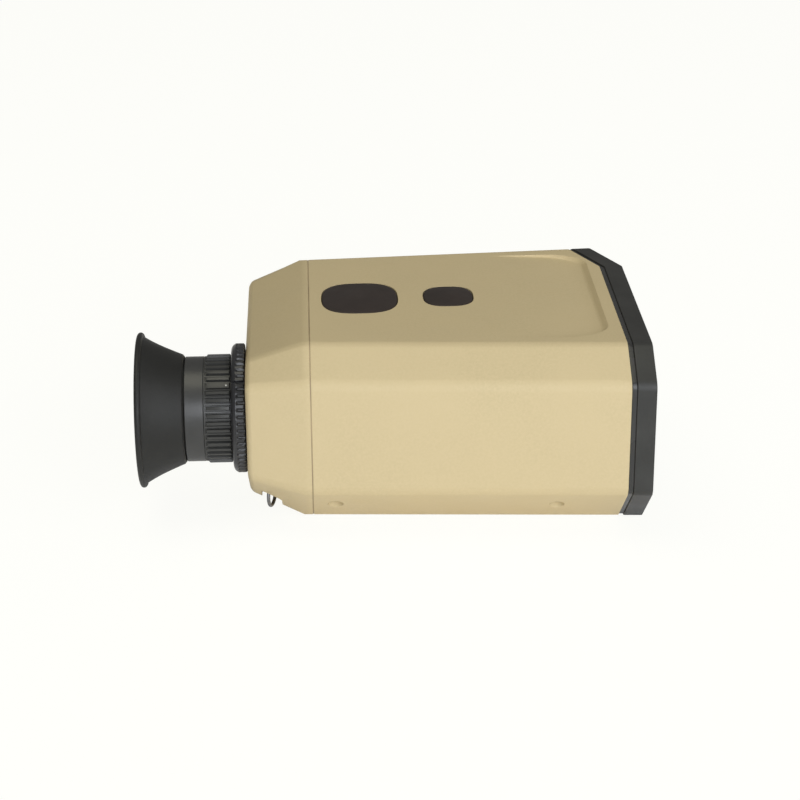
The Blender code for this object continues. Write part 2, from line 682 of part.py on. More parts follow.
def ribbed_ring(name, count, outer, height, inner, start, length, fill, surface):
    """A ring along the eyepiece axis with straight ribs round it."""
    outline = []
    for i in range(count):
        for share, radius in ((-fill, outer), (fill, outer), (fill + 0.08, outer - height),
                              (1 - fill - 0.08, outer - height)):
            angle = math.pi / 2 + 2 * math.pi * (i + share) / count
            outline.append((radius * math.cos(angle), radius * math.sin(angle)))
    curve = bpy.data.curves.new(name, "CURVE")
    curve.dimensions = "2D"
    curve.fill_mode = "BOTH"
    curve.extrude = length / 2
    hole = [(inner * math.cos(2 * math.pi * i / FINE), inner * math.sin(2 * math.pi * i / FINE))
            for i in range(FINE)]
    for points in (outline, hole):
        spline = curve.splines.new("POLY")
        spline.points.add(len(points) - 1)
        for point, (u, v) in zip(spline.points, points):
            point.co = (u, v, 0, 1)
        spline.use_cyclic_u = True
    guide = bpy.data.objects.new(name + "_outline", curve)
    bpy.context.scene.collection.objects.link(guide)
    guide.location = (start + length / 2, EYE_Y, OPTIC_Z)
    guide.rotation_euler = (math.pi / 2, 0, math.pi / 2)
    bpy.context.view_layer.update()
    evaluated = guide.evaluated_get(bpy.context.evaluated_depsgraph_get())
    mesh = bpy.data.meshes.new_from_object(evaluated)
    bm = bmesh.new()
    bm.from_mesh(mesh)
    bmesh.ops.remove_doubles(bm, verts=bm.verts, dist=MERGE)
    bm.to_mesh(mesh)
    bm.free()
    item = bpy.data.objects.new(name, mesh)
    item.matrix_world = guide.matrix_world
    bpy.data.objects.remove(guide)
    mesh.materials.clear()
    return finish(item, surface)


def eyepiece():
    """The fixed tube and knurled lock ring, the diopter ring and barrel, and the lens cell."""
    flange_end = X_REAR - GAP
    flange_start = flange_end - FLANGE_LENGTH
    bore = TUBE_RADIUS + GAP
    ribbed_ring("eyepiece_flange", FLANGE_TEETH, FLANGE_RADIUS, TOOTH_DEPTH, bore, flange_start,
                FLANGE_LENGTH, TOOTH_SHARE, BLACK_METAL)
    grip_end = flange_start - GAP
    grip_start = grip_end - GRIP_LENGTH
    barrel_start = grip_start - GAP - BARREL_LENGTH
    sleeve = bore + BARREL_WALL - GAP
    ribbed_ring("diopter_ring", GRIP_RIBS, GRIP_RADIUS, RIB_HEIGHT, sleeve + GAP, grip_start,
                GRIP_LENGTH, RIB_SHARE, BLACK_RUBBER)
    profile = [(sleeve, grip_end - barrel_start), (sleeve, BARREL_LENGTH), (BARREL_RADIUS, BARREL_LENGTH),
               (BARREL_RADIUS, 0), (bore, 0), (bore, grip_end - barrel_start)]
    turned("diopter_barrel", profile, (barrel_start, EYE_Y, OPTIC_Z), "+X", BLACK_METAL, FINE, ring=True)

    collar = X_REAR + REAR_WALL + GAP + GASKET_THICK + GAP
    tube_end = collar + COLLAR_LENGTH + TUBE_TAIL
    tube_start = barrel_start + TUBE_SHY
    top = tube_end - tube_start
    profile = [(TUBE_RADIUS, top), (TUBE_RADIUS, collar + COLLAR_LENGTH - tube_start),
               (COLLAR_RADIUS, collar + COLLAR_LENGTH - tube_start), (COLLAR_RADIUS, collar - tube_start),
               (TUBE_RADIUS, collar - tube_start), (TUBE_RADIUS, 0), (TUBE_RADIUS - TUBE_WALL, 0),
               (TUBE_RADIUS - TUBE_WALL, top)]
    turned("eyepiece_tube", profile, (tube_start, EYE_Y, OPTIC_Z), "+X", BLACK_METAL, FINE, ring=True)
    gasket_start = X_REAR + REAR_WALL + GAP
    pipe("eyepiece_gasket", COLLAR_RADIUS, bore, gasket_start, gasket_start + GASKET_THICK, EYE_Y,
         OPTIC_Z, BLACK_RUBBER, FINE)

    cell_radius = TUBE_RADIUS - TUBE_WALL - GAP
    cell_bore = cell_radius - CELL_WALL
    cell_start, cell_end = barrel_start + CELL_SHY, X_REAR - FLANGE_LENGTH
    pipe("ocular_cell", cell_radius, cell_bore, cell_start, cell_end, EYE_Y, OPTIC_Z, ALUMINIUM)
    lens_radius = cell_bore - GAP
    make_lens("eye_lens", lens_radius, cell_start + EYE_LENS_DEPTH, *EYE_LENS)
    make_lens("field_lens", lens_radius, cell_end - FIELD_LENS_DEPTH - FIELD_LENS[0], *FIELD_LENS)
    return barrel_start


def make_lens(name, radius, start, thick, bulge, y=EYE_Y, z=OPTIC_Z):
    """A biconvex lens: a centre thickness, and how far each face rises from its edge."""
    rings = 2
    profile = []
    for k in range(rings + 1):
        share = k / rings
        profile.append((radius * share, thick - bulge * share * share))
    for k in range(rings, -1, -1):
        share = k / rings
        profile.append((radius * share, bulge * share * share))
    return turned(name, profile, (start, y, z), "+X", COATED_GLASS, SMALL + 8)


def eyecup(barrel_start):
    """The flared rubber cup, turned from a curved wall with a rounded rim."""
    base = barrel_start - GAP
    length = base - X_RIM
    outer, inner = [], []
    steps = 5
    for k in range(steps + 1):
        share = k / steps
        flare = (1 - EYECUP_CURL) * share + EYECUP_CURL * share ** 3.2
        radius = EYECUP_BASE_RADIUS + (EYECUP_RIM_RADIUS - EYECUP_BASE_RADIUS) * flare
        height = (length - EYECUP_LIP) * share
        outer.append((radius, height))
        inner.append((radius - EYECUP_WALL, height))
    rim = [(EYECUP_RIM_RADIUS - 0.0004, length - 0.0003), (EYECUP_RIM_RADIUS - 0.0010, length),
           (EYECUP_RIM_RADIUS - EYECUP_WALL + 0.0001, length - 0.0005)]
    profile = rim[::-1] + outer[::-1] + inner
    return turned("eyecup", profile, (base, EYE_Y, OPTIC_Z), "-X", BLACK_RUBBER, FINE, ring=True)


def make_button(name, x, half_x, half_y):
    """A domed key with a flange under the wall and a stem over its switch."""
    flange_top = CEILING_Z - GAP
    flange_low = flange_top - BUTTON_FLANGE_THICK
    wide_x, wide_y = half_x + BUTTON_FLANGE, half_y + BUTTON_FLANGE
    top = HEIGHT + BUTTON_PROUD
    stem = BUTTON_STEM_HALF
    rings = [(stem, stem, flange_low - BUTTON_STEM), (stem, stem, flange_low),
             (wide_x, wide_y, flange_low), (wide_x, wide_y, flange_top), (half_x, half_y, flange_top),
             (half_x, half_y, HEIGHT - 0.0003), (half_x - BUTTON_EDGE, half_y - BUTTON_EDGE, HEIGHT + 0.0002),
             (half_x * 0.62, half_y * 0.62, top)]
    return loft(name, [button_outline(a, b, x, z) for a, b, z in rings], BROWN_KEY)


def make_switch(name, x):
    """A small tactile switch: a square body and a round-cornered plunger."""
    body = SWITCH_HEIGHT * 0.72
    levels = ((SWITCH_HALF, BOARD_TOP_Z + GAP / 2), (SWITCH_HALF, BOARD_TOP_Z + body),
              (PLUNGER_HALF, BOARD_TOP_Z + body), (PLUNGER_HALF, BOARD_TOP_Z + SWITCH_HEIGHT))
    rings = [[(x + u * half, v * half, z) for u, v in ((-1, -1), (1, -1), (1, 1), (-1, 1))]
             for half, z in levels]
    return loft(name, rings, BLACK_METAL)


def controls():
    """The two keys on the top, their switches and the board that carries them."""
    make_button("measure_button", MEASURE_X, MEASURE_HALF_X, MEASURE_HALF_Y)
    make_button("mode_button", MODE_X, MODE_HALF_X, MODE_HALF_Y)
    make_switch("measure_switch", MEASURE_X)
    make_switch("mode_switch", MODE_X)
    box("button_board", (MEASURE_X - 0.011, -BOARD_POST_Y - 0.003, BOARD_TOP_Z - BOARD_THICK),
        (MODE_X + 0.010, BOARD_POST_Y + 0.003, BOARD_TOP_Z), BOARD_GREEN)


def battery_bay():
    """The sleeve, cell, contacts, and the plug with its coin-slot lock."""
    plug_start = X_REAR + PLUG_SETBACK
    plug_end = plug_start + PLUG_LENGTH
    boss_radius = BATTERY_RADIUS - GAP
    boss_end = plug_end + PLUG_BOSS_LENGTH
    head_seat = KNOB_LENGTH + 2 * GAP
    bore = KNOB_SHAFT_RADIUS + GAP
    total = boss_end - plug_start
    profile = [(boss_radius, total), (boss_radius, PLUG_LENGTH), (PLUG_RADIUS, PLUG_LENGTH), (PLUG_RADIUS, 0),
               (KNOB_RADIUS + GAP, 0), (KNOB_RADIUS + GAP, head_seat), (bore, head_seat), (bore, total)]
    turned("battery_plug", profile, (plug_start, BATTERY_Y, OPTIC_Z), "+X", BLACK_METAL, ROUND, ring=True)
    knob_start = plug_start + GAP
    shaft = boss_end - knob_start + 0.0004
    profile = [(0, shaft), (KNOB_SHAFT_RADIUS, shaft), (KNOB_SHAFT_RADIUS, KNOB_LENGTH),
               (KNOB_RADIUS, KNOB_LENGTH), (KNOB_RADIUS, 0), (0, 0)]
    knob = turned("battery_knob", profile, (knob_start, BATTERY_Y, OPTIC_Z), "+X", STEEL)
    width, height = COIN_SLOT
    cut(knob, box("coin_slot", (knob_start - OVERSHOOT, BATTERY_Y - width / 2, OPTIC_Z - height / 2),
                  (knob_start + COIN_SLOT_DEPTH, BATTERY_Y + width / 2, OPTIC_Z + height / 2)))
    sleeve_bore = BATTERY_RADIUS + GAP
    seal_start = plug_end + GAP
    seal_end = seal_start + GASKET_THICK
    pipe("battery_seal", BATTERY_SLEEVE_RADIUS, boss_radius + GAP, seal_start, seal_end, BATTERY_Y,
         OPTIC_Z, BLACK_RUBBER)
    cell_start = boss_end + CELL_PLAY
    cell_end = cell_start + BATTERY_LENGTH
    shoulder = BATTERY_LENGTH - CELL_NUB_HEIGHT
    profile = [(0, BATTERY_LENGTH), (CELL_NUB_RADIUS, BATTERY_LENGTH), (CELL_NUB_RADIUS, shoulder),
               (BATTERY_RADIUS, shoulder), (BATTERY_RADIUS, 0), (0, 0)]
    turned("battery", profile, (cell_start, BATTERY_Y, OPTIC_Z), "+X", CELL_WRAP)
    contact_start = cell_end + 2 * GAP + SPRING_LENGTH
    sleeve_end = contact_start - GAP
    pipe("battery_tube", BATTERY_SLEEVE_RADIUS, sleeve_bore, seal_end + GAP, sleeve_end, BATTERY_Y,
         OPTIC_Z, BLACK_ARMOUR)
    rod("battery_contact", BATTERY_SLEEVE_RADIUS, contact_start, contact_start + BOARD_THICK,
        BATTERY_Y, OPTIC_Z, BOARD_GREEN)
    battery_spring(cell_end + GAP)
    return sleeve_end


def battery_spring(start):
    """A short coil between the cell's end and the contact board."""
    turns, per_turn = 3, 10
    small, large = SPRING_RADII
    curve = bpy.data.curves.new("battery_spring", "CURVE")
    curve.dimensions = "3D"
    curve.bevel_depth = SPRING_WIRE
    curve.bevel_resolution = 2
    curve.use_fill_caps = True
    spline = curve.splines.new("POLY")
    count = turns * per_turn
    spline.points.add(count)
    for i in range(count + 1):
        angle = 2 * math.pi * i / per_turn
        radius = small + (large - small) * i / count
        x = start + SPRING_WIRE + (SPRING_LENGTH - 2 * SPRING_WIRE) * i / count
        spline.points[i].co = (x, BATTERY_Y + radius * math.cos(angle), OPTIC_Z + radius * math.sin(angle), 1)
    return finish(bpy.data.objects.new("battery_spring", curve), STEEL)


def sighting_optics():
    """Objective tube and lenses, the erecting prisms in their frame, and the display."""
    end = X_JOINT - TUBE_SETBACK
    start = end - OBJECTIVE_TUBE_LENGTH
    bore = OBJECTIVE_RADIUS - OPTIC_TUBE_WALL
    pipe("objective_tube", OBJECTIVE_RADIUS, bore, start, end, EYE_Y, OPTIC_Z, BLACK_METAL)
    make_lens("objective_lens", bore - GAP, end - 0.0065, 0.0048, 0.0012)
    make_lens("objective_rear_lens", bore - GAP, end - 0.0115, 0.0036, 0.0006)

    frame_end = start - PRISM_FRAME_FROM_TUBE
    frame_start = frame_end - PRISM_FRAME_LENGTH
    half, wall = PRISM_FRAME_HALF, PRISM_FRAME_WALL
    floor_z = OPTIC_Z - PRISM_FRAME_LOW
    top_z = OPTIC_Z + PRISM_FRAME_HIGH
    channel = [(-half, floor_z), (half, floor_z), (half, top_z), (half - wall, top_z),
               (half - wall, floor_z + wall), (wall - half, floor_z + wall), (wall - half, top_z),
               (-half, top_z)]
    loft("prism_frame", [[(x, EYE_Y + y, z) for y, z in channel] for x in (frame_start, frame_end)],
         ALUMINIUM)
    side = half - wall - GAP
    low = floor_z + wall + GAP
    high = top_z - PRISM_BELOW_RIM
    middle = (frame_start + frame_end) / 2
    roof = [(frame_end - 0.0006, low), (frame_end - 0.0006, high - 0.004), (middle + 0.006, high),
            (middle + 0.0008, low + 0.006), (middle + 0.0008, low)]
    penta = [(frame_start + 0.0006, low + 0.003), (frame_start + 0.004, low), (middle - 0.0008, low),
             (middle - 0.0008, high - 0.005), (middle - 0.006, high), (frame_start + 0.0006, high)]
    loft("roof_prism", [[(x, EYE_Y + y, z) for x, z in roof] for y in (-side, side)], COATED_GLASS)
    loft("half_penta_prism", [[(x, EYE_Y + y, z) for x, z in penta] for y in (-side, side)], COATED_GLASS)
    display_end = frame_start - DISPLAY_FROM_PRISMS
    thick, width, height = DISPLAY_SIZE
    box("reticle_display", (display_end - thick, EYE_Y - width / 2, OPTIC_Z - height / 2),
        (display_end, EYE_Y + width / 2, OPTIC_Z + height / 2), COATED_GLASS)
    return start, frame_start, frame_end, floor_z


def ranging_parts():
    """Laser emitter and receiver, each a tube with its lens or diode."""
    end = X_JOINT - TUBE_SETBACK
    start = end - RECEIVER_TUBE_LENGTH
    bore = RECEIVER_RADIUS - OPTIC_TUBE_WALL
    pipe("receiver_tube", RECEIVER_RADIUS, bore, start, end, RECEIVER_Y, OPTIC_Z, BLACK_METAL)
    make_lens("receiver_lens", bore - GAP, end - 0.0062, 0.0048, 0.0014, RECEIVER_Y)
    profile = [(0, 0.0050), (0.0041, 0.0050), (0.0041, 0.0008), (0.0060, 0.0008), (0.0060, 0), (0, 0)]
    turned("receiver_detector", profile, (start - GAP - 0.0008, RECEIVER_Y, OPTIC_Z), "+X", STEEL, SMALL)
    start = end - LASER_TUBE_LENGTH
    bore = EMITTER_RADIUS - OPTIC_TUBE_WALL
    pipe("laser_tube", EMITTER_RADIUS, bore, start, end, EMITTER_Y, EMITTER_Z, BLACK_METAL, SMALL + 4)
    profile = [(0, 0.0044), (bore - 0.0010, 0.0044), (bore - 0.0010, 0.0012), (bore - GAP, 0.0012),
               (bore - GAP, 0), (0, 0)]
    turned("laser_diode", profile, (start + 0.0010, EMITTER_Y, EMITTER_Z), "+X", BRASS, SMALL)
    clamp_start = start + 0.006
    clamp = box("laser_clamp", (clamp_start, EMITTER_Y - 0.0062, EMITTER_Z - 0.0075),
                (clamp_start + 0.006, EMITTER_Y + 0.0062, CEILING_Z - 0.0004), BLACK_ARMOUR)
    cut(clamp, rod("clamp_laser", EMITTER_RADIUS + GAP, clamp_start - OVERSHOOT, X_JOINT, EMITTER_Y,
                   EMITTER_Z, steps=SMALL + 4),
        rod("clamp_objective", OBJECTIVE_RADIUS + GAP, clamp_start - OVERSHOOT, X_JOINT, EYE_Y, OPTIC_Z),
        rod("clamp_receiver", RECEIVER_RADIUS + GAP, clamp_start - OVERSHOOT, X_JOINT, RECEIVER_Y, OPTIC_Z))


def chassis(tube_start, frame_start, frame_end, floor_z, sleeve_end):
    """The inner plate on the case screws, with saddles for the tubes, the prisms and the cell."""
    top = CHASSIS_Z + CHASSIS_THICK
    (rear_x, _), (_, rear_y), (front_x, _), (_, front_y) = case_screw_places()
    outline = [(rear_x - 0.0035, rear_y + 0.0022), (rear_x + 0.006, rear_y + 0.0022),
               (front_x - 0.006, front_y + 0.0022), (front_x + 0.0035, front_y + 0.0022)]
    outline += [(x, -y) for x, y in reversed(outline)]
    plate = loft("chassis", [[(x, y, z) for x, y in outline] for z in (CHASSIS_Z, top)], ALUMINIUM)
    saddle_x = tube_start + 0.008
    blocks = (
        ("objective_saddle", saddle_x, saddle_x + 0.009, EYE_Y, 0.0090, OPTIC_Z - 0.0085),
        ("receiver_saddle", saddle_x, saddle_x + 0.009, RECEIVER_Y, 0.0080, OPTIC_Z - 0.0085),
        ("prism_seat", frame_start + 0.001, frame_end - 0.001, EYE_Y, 0.0090, floor_z - GAP),
        ("battery_saddle", sleeve_end - 0.014, sleeve_end - 0.005, BATTERY_Y, 0.0070, OPTIC_Z - 0.0062),
    )
    for name, start, end, y, half, height in blocks:
        join(plate, box(name, (start, y - half, CHASSIS_Z + 0.0004), (end, y + half, height)))
    cut(plate, rod("saddle_objective", OBJECTIVE_RADIUS + GAP, tube_start, X_JOINT, EYE_Y, OPTIC_Z),
        rod("saddle_receiver", RECEIVER_RADIUS + GAP, tube_start, X_JOINT, RECEIVER_Y, OPTIC_Z),
        rod("saddle_battery", BATTERY_SLEEVE_RADIUS + GAP, X_REAR, sleeve_end + OVERSHOOT, BATTERY_Y,
            OPTIC_Z))
    for i, (x, y) in enumerate(case_screw_places()):
        cut(plate, post(f"chassis_hole_{i}", SCREW_SHANK_RADIUS + GAP, CHASSIS_Z - OVERSHOOT,
                        top + OVERSHOOT, x, y, steps=12))
    board_low = top + 0.0012
    box("main_board", (sleeve_end + 0.004, RECEIVER_Y + RECEIVER_RADIUS + 0.002, board_low),
        (front_x + 0.001, front_y - 0.004, board_low + BOARD_THICK), BOARD_GREEN)


def fasteners():
    """Screws up through the bottom chamfers and in through the rear face, and the tripod insert."""
    labels = ("rear_near", "rear_far", "front_near", "front_far")
    for label, (x, y) in zip(labels, case_screw_places()):
        head = CASE_COUNTERBORE_DEPTH - GAP - SCREW_HEAD_HEIGHT
        make_screw(f"case_screw_{label}", (x, y, head), "-Z", CASE_SCREW_LENGTH)
    for side, name in ((-1, "near"), (1, "far")):
        head = X_REAR + END_SEAT - GAP - SCREW_HEAD_HEIGHT
        make_screw(f"rear_screw_{name}", (head, side * END_SCREW_Y, REAR_SCREW_Z), "-X",
                   REAR_LENGTH + REAR_BOSS_LENGTH / 2)
    top = TRIPOD_INSERT_LENGTH
    bore = TRIPOD_BORE_RADIUS
    profile = [(0, top), (TRIPOD_INSERT_RADIUS, top), (TRIPOD_INSERT_RADIUS, 0), (bore, 0),
               (bore, TRIPOD_BORE_DEPTH), (0, TRIPOD_BORE_DEPTH)]
    turned("tripod_insert", profile, (TRIPOD_X, 0, TRIPOD_RECESS), "+Z", BRASS)


def strap_points():
    """A pin across each strap slot, and a wire ring that leans out of it."""
    hang = STRAP_RING_RADIUS - STRAP_WIRE_RADIUS - PIN_RADIUS - GAP
    for side, name in ((-1, "near"), (1, "far")):
        reach = SLOT_WIDTH / 2 + PIN_GRIP - GAP / 2
        rod(f"strap_pin_{name}", PIN_RADIUS, SLOT_X - reach, SLOT_X + reach, side * PIN_Y, PIN_Z, STEEL, 12)
        pivot = bpy.data.objects.new(f"strap_pivot_{name}", None)
        PARTS.objects.link(pivot)
        pivot.location = (SLOT_X, side * PIN_Y, PIN_Z)
        major, minor = STRAP_RING_RADIUS, STRAP_WIRE_RADIUS
        wire = [(major + minor * math.cos(a), minor * math.sin(a))
                for a in [math.pi / 2 - 2 * math.pi * k / 8 for k in range(8)]]
        ring = turned(f"strap_ring_{name}", wire, (0, 0, 0), "+Z", BLACK_METAL, 24, ring=True)
        ring.parent = pivot
        out_y, down_z = side * math.cos(STRAP_RING_DROOP), -math.sin(STRAP_RING_DROOP)
        ring.location = (0, hang * out_y, hang * down_z)
        ring.rotation_euler = (0, math.pi / 2, side * STRAP_RING_LEAN)


def build():
    """Make every piece of the rangefinder."""
    main_housing()
    rear_housing()
    gaskets()
    front_bezel()
    windows()
    eyecup(eyepiece())
    controls()
    sleeve_end = battery_bay()
    tube_start, frame_start, frame_end, floor_z = sighting_optics()
    ranging_parts()
    chassis(tube_start, frame_start, frame_end, floor_z, sleeve_end)
    fasteners()
    strap_points()


build()
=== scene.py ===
import json
import math

import bmesh
import bpy
from mathutils import Matrix, Vector

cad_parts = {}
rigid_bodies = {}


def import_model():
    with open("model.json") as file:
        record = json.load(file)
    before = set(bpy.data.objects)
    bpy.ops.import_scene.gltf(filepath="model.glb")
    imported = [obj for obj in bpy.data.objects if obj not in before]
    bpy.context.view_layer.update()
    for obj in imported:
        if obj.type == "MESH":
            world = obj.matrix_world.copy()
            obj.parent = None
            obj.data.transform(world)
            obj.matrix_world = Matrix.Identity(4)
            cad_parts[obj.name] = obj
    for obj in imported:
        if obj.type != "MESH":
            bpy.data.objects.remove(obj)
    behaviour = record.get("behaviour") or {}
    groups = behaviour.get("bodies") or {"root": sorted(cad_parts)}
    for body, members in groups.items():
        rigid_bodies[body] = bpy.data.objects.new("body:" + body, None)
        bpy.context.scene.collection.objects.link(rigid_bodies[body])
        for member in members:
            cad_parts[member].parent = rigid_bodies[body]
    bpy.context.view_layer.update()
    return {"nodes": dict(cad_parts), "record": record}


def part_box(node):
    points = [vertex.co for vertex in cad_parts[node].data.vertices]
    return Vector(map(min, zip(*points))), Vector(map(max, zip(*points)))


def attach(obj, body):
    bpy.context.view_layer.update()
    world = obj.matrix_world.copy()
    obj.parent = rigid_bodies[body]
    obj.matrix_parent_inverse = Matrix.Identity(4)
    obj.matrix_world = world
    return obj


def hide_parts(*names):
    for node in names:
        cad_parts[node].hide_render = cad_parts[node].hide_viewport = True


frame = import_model()

# Studio
# The rangefinder stands on a pale table and is seen from its right side, from a little above.
# One broad soft light stands by the camera, so the side is bright and the top is half a tone down.

camera_data = bpy.data.cameras.new("camera")
camera_data.lens = 99.9
camera_data.sensor_width = 36.0
camera_data.clip_start = 0.01
camera = bpy.data.objects.new("camera", camera_data)
bpy.context.scene.collection.objects.link(camera)
camera_turn, camera_dip, camera_roll = math.radians(-2.405), math.radians(23.5), math.radians(-0.368)
camera.matrix_world = (Matrix.Translation((-0.01968, -0.54330, 0.25767)) @ Matrix.Rotation(camera_turn, 4, "Z")
                       @ Matrix.Rotation(math.pi / 2 - camera_dip, 4, "X") @ Matrix.Rotation(camera_roll, 4, "Z"))
bpy.context.scene.camera = camera
bpy.context.scene.view_settings.view_transform = "Standard"

table_mesh = bmesh.new()
bmesh.ops.create_grid(table_mesh, x_segments=2, y_segments=2, size=4.0)
table_data = bpy.data.meshes.new("table")
table_mesh.to_mesh(table_data)
table_mesh.free()
table = bpy.data.objects.new("table", table_data)
bpy.context.scene.collection.objects.link(table)
table_finish = bpy.data.materials.new("pale_table")
table_finish.use_nodes = True
table_shader = table_finish.node_tree.nodes["Principled BSDF"]
table_shader.inputs["Base Color"].default_value = (0.86, 0.86, 0.85, 1)
table_shader.inputs["Roughness"].default_value = 0.9
table_shader.inputs["Specular IOR Level"].default_value = 0.1
table_shader.inputs["Emission Color"].default_value = (1.0, 1.0, 1.0, 1)
table_shader.inputs["Emission Strength"].default_value = 0.21
table_nodes, table_links = table_finish.node_tree.nodes, table_finish.node_tree.links
paper_glow = table_nodes.new("ShaderNodeEmission")
paper_glow.inputs["Color"].default_value = (1.0, 1.0, 0.965, 1)
paper_glow.inputs["Strength"].default_value = 1.02
paper_share = table_nodes.new("ShaderNodeMath")
paper_share.operation = "MULTIPLY"
paper_share.inputs[1].default_value = 0.88
table_links.new(table_nodes.new("ShaderNodeLightPath").outputs["Is Camera Ray"], paper_share.inputs[0])
table_mix = table_nodes.new("ShaderNodeMixShader")
table_links.new(paper_share.outputs[0], table_mix.inputs[0])
table_links.new(table_shader.outputs[0], table_mix.inputs[1])
table_links.new(paper_glow.outputs[0], table_mix.inputs[2])
table_links.new(table_mix.outputs[0], table_nodes["Material Output"].inputs["Surface"])
table_data.materials.append(table_finish)

world = bpy.data.worlds.new("studio")
world.use_nodes = True
world.node_tree.nodes["Background"].inputs["Color"].default_value = (1.0, 0.99, 0.97, 1)
world.node_tree.nodes["Background"].inputs["Strength"].default_value = 0.20
bpy.context.scene.world = world


def soft_light(name, place, target, width, depth, power, colour=(1.0, 1.0, 1.0)):
    """A rectangular softbox that faces its target."""
    data = bpy.data.lights.new(name, "AREA")
    data.shape = "RECTANGLE"
    data.size, data.size_y = width, depth
    data.energy = power
    data.color = colour
    lamp = bpy.data.objects.new(name, data)
    bpy.context.scene.collection.objects.link(lamp)
    lamp.location = place
    lamp.rotation_euler = (Vector(target) - Vector(place)).to_track_quat("-Z", "Y").to_euler()


soft_light("front_softbox", (0.35, -1.30, 0.55), (0, 0, 0.03), 1.3, 0.8, 15.4, (0.905, 0.942, 1.0))
soft_light("top_softbox", (-0.35, -0.10, 1.45), (0, 0, 0.03), 1.0, 1.0, 6.2, (1.0, 0.97, 0.78))
soft_light("right_softbox", (1.10, -0.50, 0.60), (0, 0, 0.03), 0.7, 0.7, 3.2)


# Main housing
# A thin cast shell with eight long facets, wider at the front than at the rear, in a matt sand
# powder coat. The far front corner is angled, and the top has a shallow thumb recess.

joint_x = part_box("main_housing")[1][0]
seam_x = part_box("main_housing")[0][0]
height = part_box("main_housing")[1][2]
flare = 0.060
facets = ((0.0298, 0.0), (0.0458, 0.0140), (0.0458, height - 0.0071), (0.0355, height))
facet_rounds = ((0.0, 0.0015), (0.0140, 0.0020), (height - 0.0071, 0.0021), (height, 0.0014))
wall = 0.0024
corner_y, corner_slope = 0.0202, 0.468
optic_z, eye_y = 0.0288, -0.0200


def ring_of(bm, points):
    """A closed loop of edges through the points."""
    verts = [bm.verts.new(point) for point in points]
    return [bm.edges.new(pair) for pair in zip(verts, verts[1:] + verts[:1])]


def strip(bm, first, last):
    """Join two rings, point for point, with four-sided faces."""
    for edge, other in zip(first, last):
        (a, b), (c, d) = edge.verts, other.verts
        bm.faces.new((a, b, d, c))


def skin(bm, rings, start_cap=True, end_cap=True):
    """Join the rings in order, and close the ends."""
    for before, after in zip(rings, rings[1:]):
        strip(bm, before, after)
    for cap, edges in ((start_cap, rings[0]), (end_cap, rings[-1])):
        if cap:
            bm.faces.new([edge.verts[0] for edge in edges])
    bmesh.ops.recalc_face_normals(bm, faces=bm.faces)


def facet_ring(bm, x, inset=0.0, share=0.0):
    """The housing's eight corners at a station. Share runs from 0 to 1 down the rear taper."""
    narrower = flare * (joint_x - x) + 0.0021 * share
    rise = (0.0060, 0.0030, -0.0017, -0.0056)
    half = [(y - narrower, z + lift * share) for (y, z), lift in zip(facets, rise)]
    middle = height / 2
    pulled = [(y - inset * (0.62 if z in (half[0][1], half[3][1]) else 1.0),
               z + math.copysign(inset, middle - z) * (1.0 if z in (half[0][1], half[3][1]) else 0.45))
              for y, z in half]
    points = pulled + [(-y, z) for y, z in reversed(pulled)]
    return ring_of(bm, [(x, y, z) for y, z in points])


def round_along(bm, levels, segments=7):
    """Round the long edges, each pair of which lies at its own height, by its own width."""
    for level, width in levels:
        edges = [edge for edge in bm.edges
                 if abs(edge.verts[0].co.x - edge.verts[1].co.x) > 0.001
                 and all(abs(vert.co.z - level(vert.co.x)) < 0.0002 for vert in edge.verts)]
        bmesh.ops.bevel(bm, geom=edges, offset=width, offset_type="OFFSET", segments=segments,
                        profile=0.5, affect="EDGES", material=-1, clamp_overlap=True)


def slant_front(bm, start):
    """Draw everything in front of start back along the angled far corner."""
    cut = bm.verts[:] + bm.edges[:] + bm.faces[:]
    bmesh.ops.bisect_plane(bm, geom=cut, dist=1e-6, plane_co=(0, corner_y, 0), plane_no=(0, 1, 0))
    for vert in bm.verts:
        if vert.co.y > corner_y + 1e-6 and vert.co.x > start:
            back = corner_slope * (vert.co.y - corner_y) / (1 + corner_slope * flare)
            vert.co.x -= back
            vert.co.y -= flare * back


def new_piece(name, bm, finish):
    """Turn a bmesh into a piece with a finish."""
    mesh = bpy.data.meshes.new(name)
    bm.to_mesh(mesh)
    bm.free()
    mesh.materials.append(finish)
    piece = bpy.data.objects.new(name, mesh)
    bpy.context.scene.collection.objects.link(piece)
    return piece


def bake_steps(piece):
    """Apply a piece's modifiers."""
    graph = bpy.context.evaluated_depsgraph_get()
    baked = bpy.data.meshes.new_from_object(piece.evaluated_get(graph))
    old = piece.data
    piece.modifiers.clear()
    piece.data = baked
    bpy.data.meshes.remove(old)


def carve(piece, *forms):
    """Cut closed forms out of a piece, all at once."""
    cutters = bpy.data.collections.new("cutters")
    bpy.context.scene.collection.children.link(cutters)
    for bm in forms:
        mesh = bpy.data.meshes.new("cutter")
        bm.to_mesh(mesh)
        bm.free()
        cutters.objects.link(bpy.data.objects.new("cutter", mesh))
    step = piece.modifiers.new("carve", "BOOLEAN")
    step.operation = "DIFFERENCE"
    step.operand_type = "COLLECTION"
    step.collection = cutters
    step.solver = "EXACT"
    bake_steps(piece)
    for cutter in list(cutters.objects):
        bpy.data.meshes.remove(cutter.data)
    bpy.data.collections.remove(cutters)


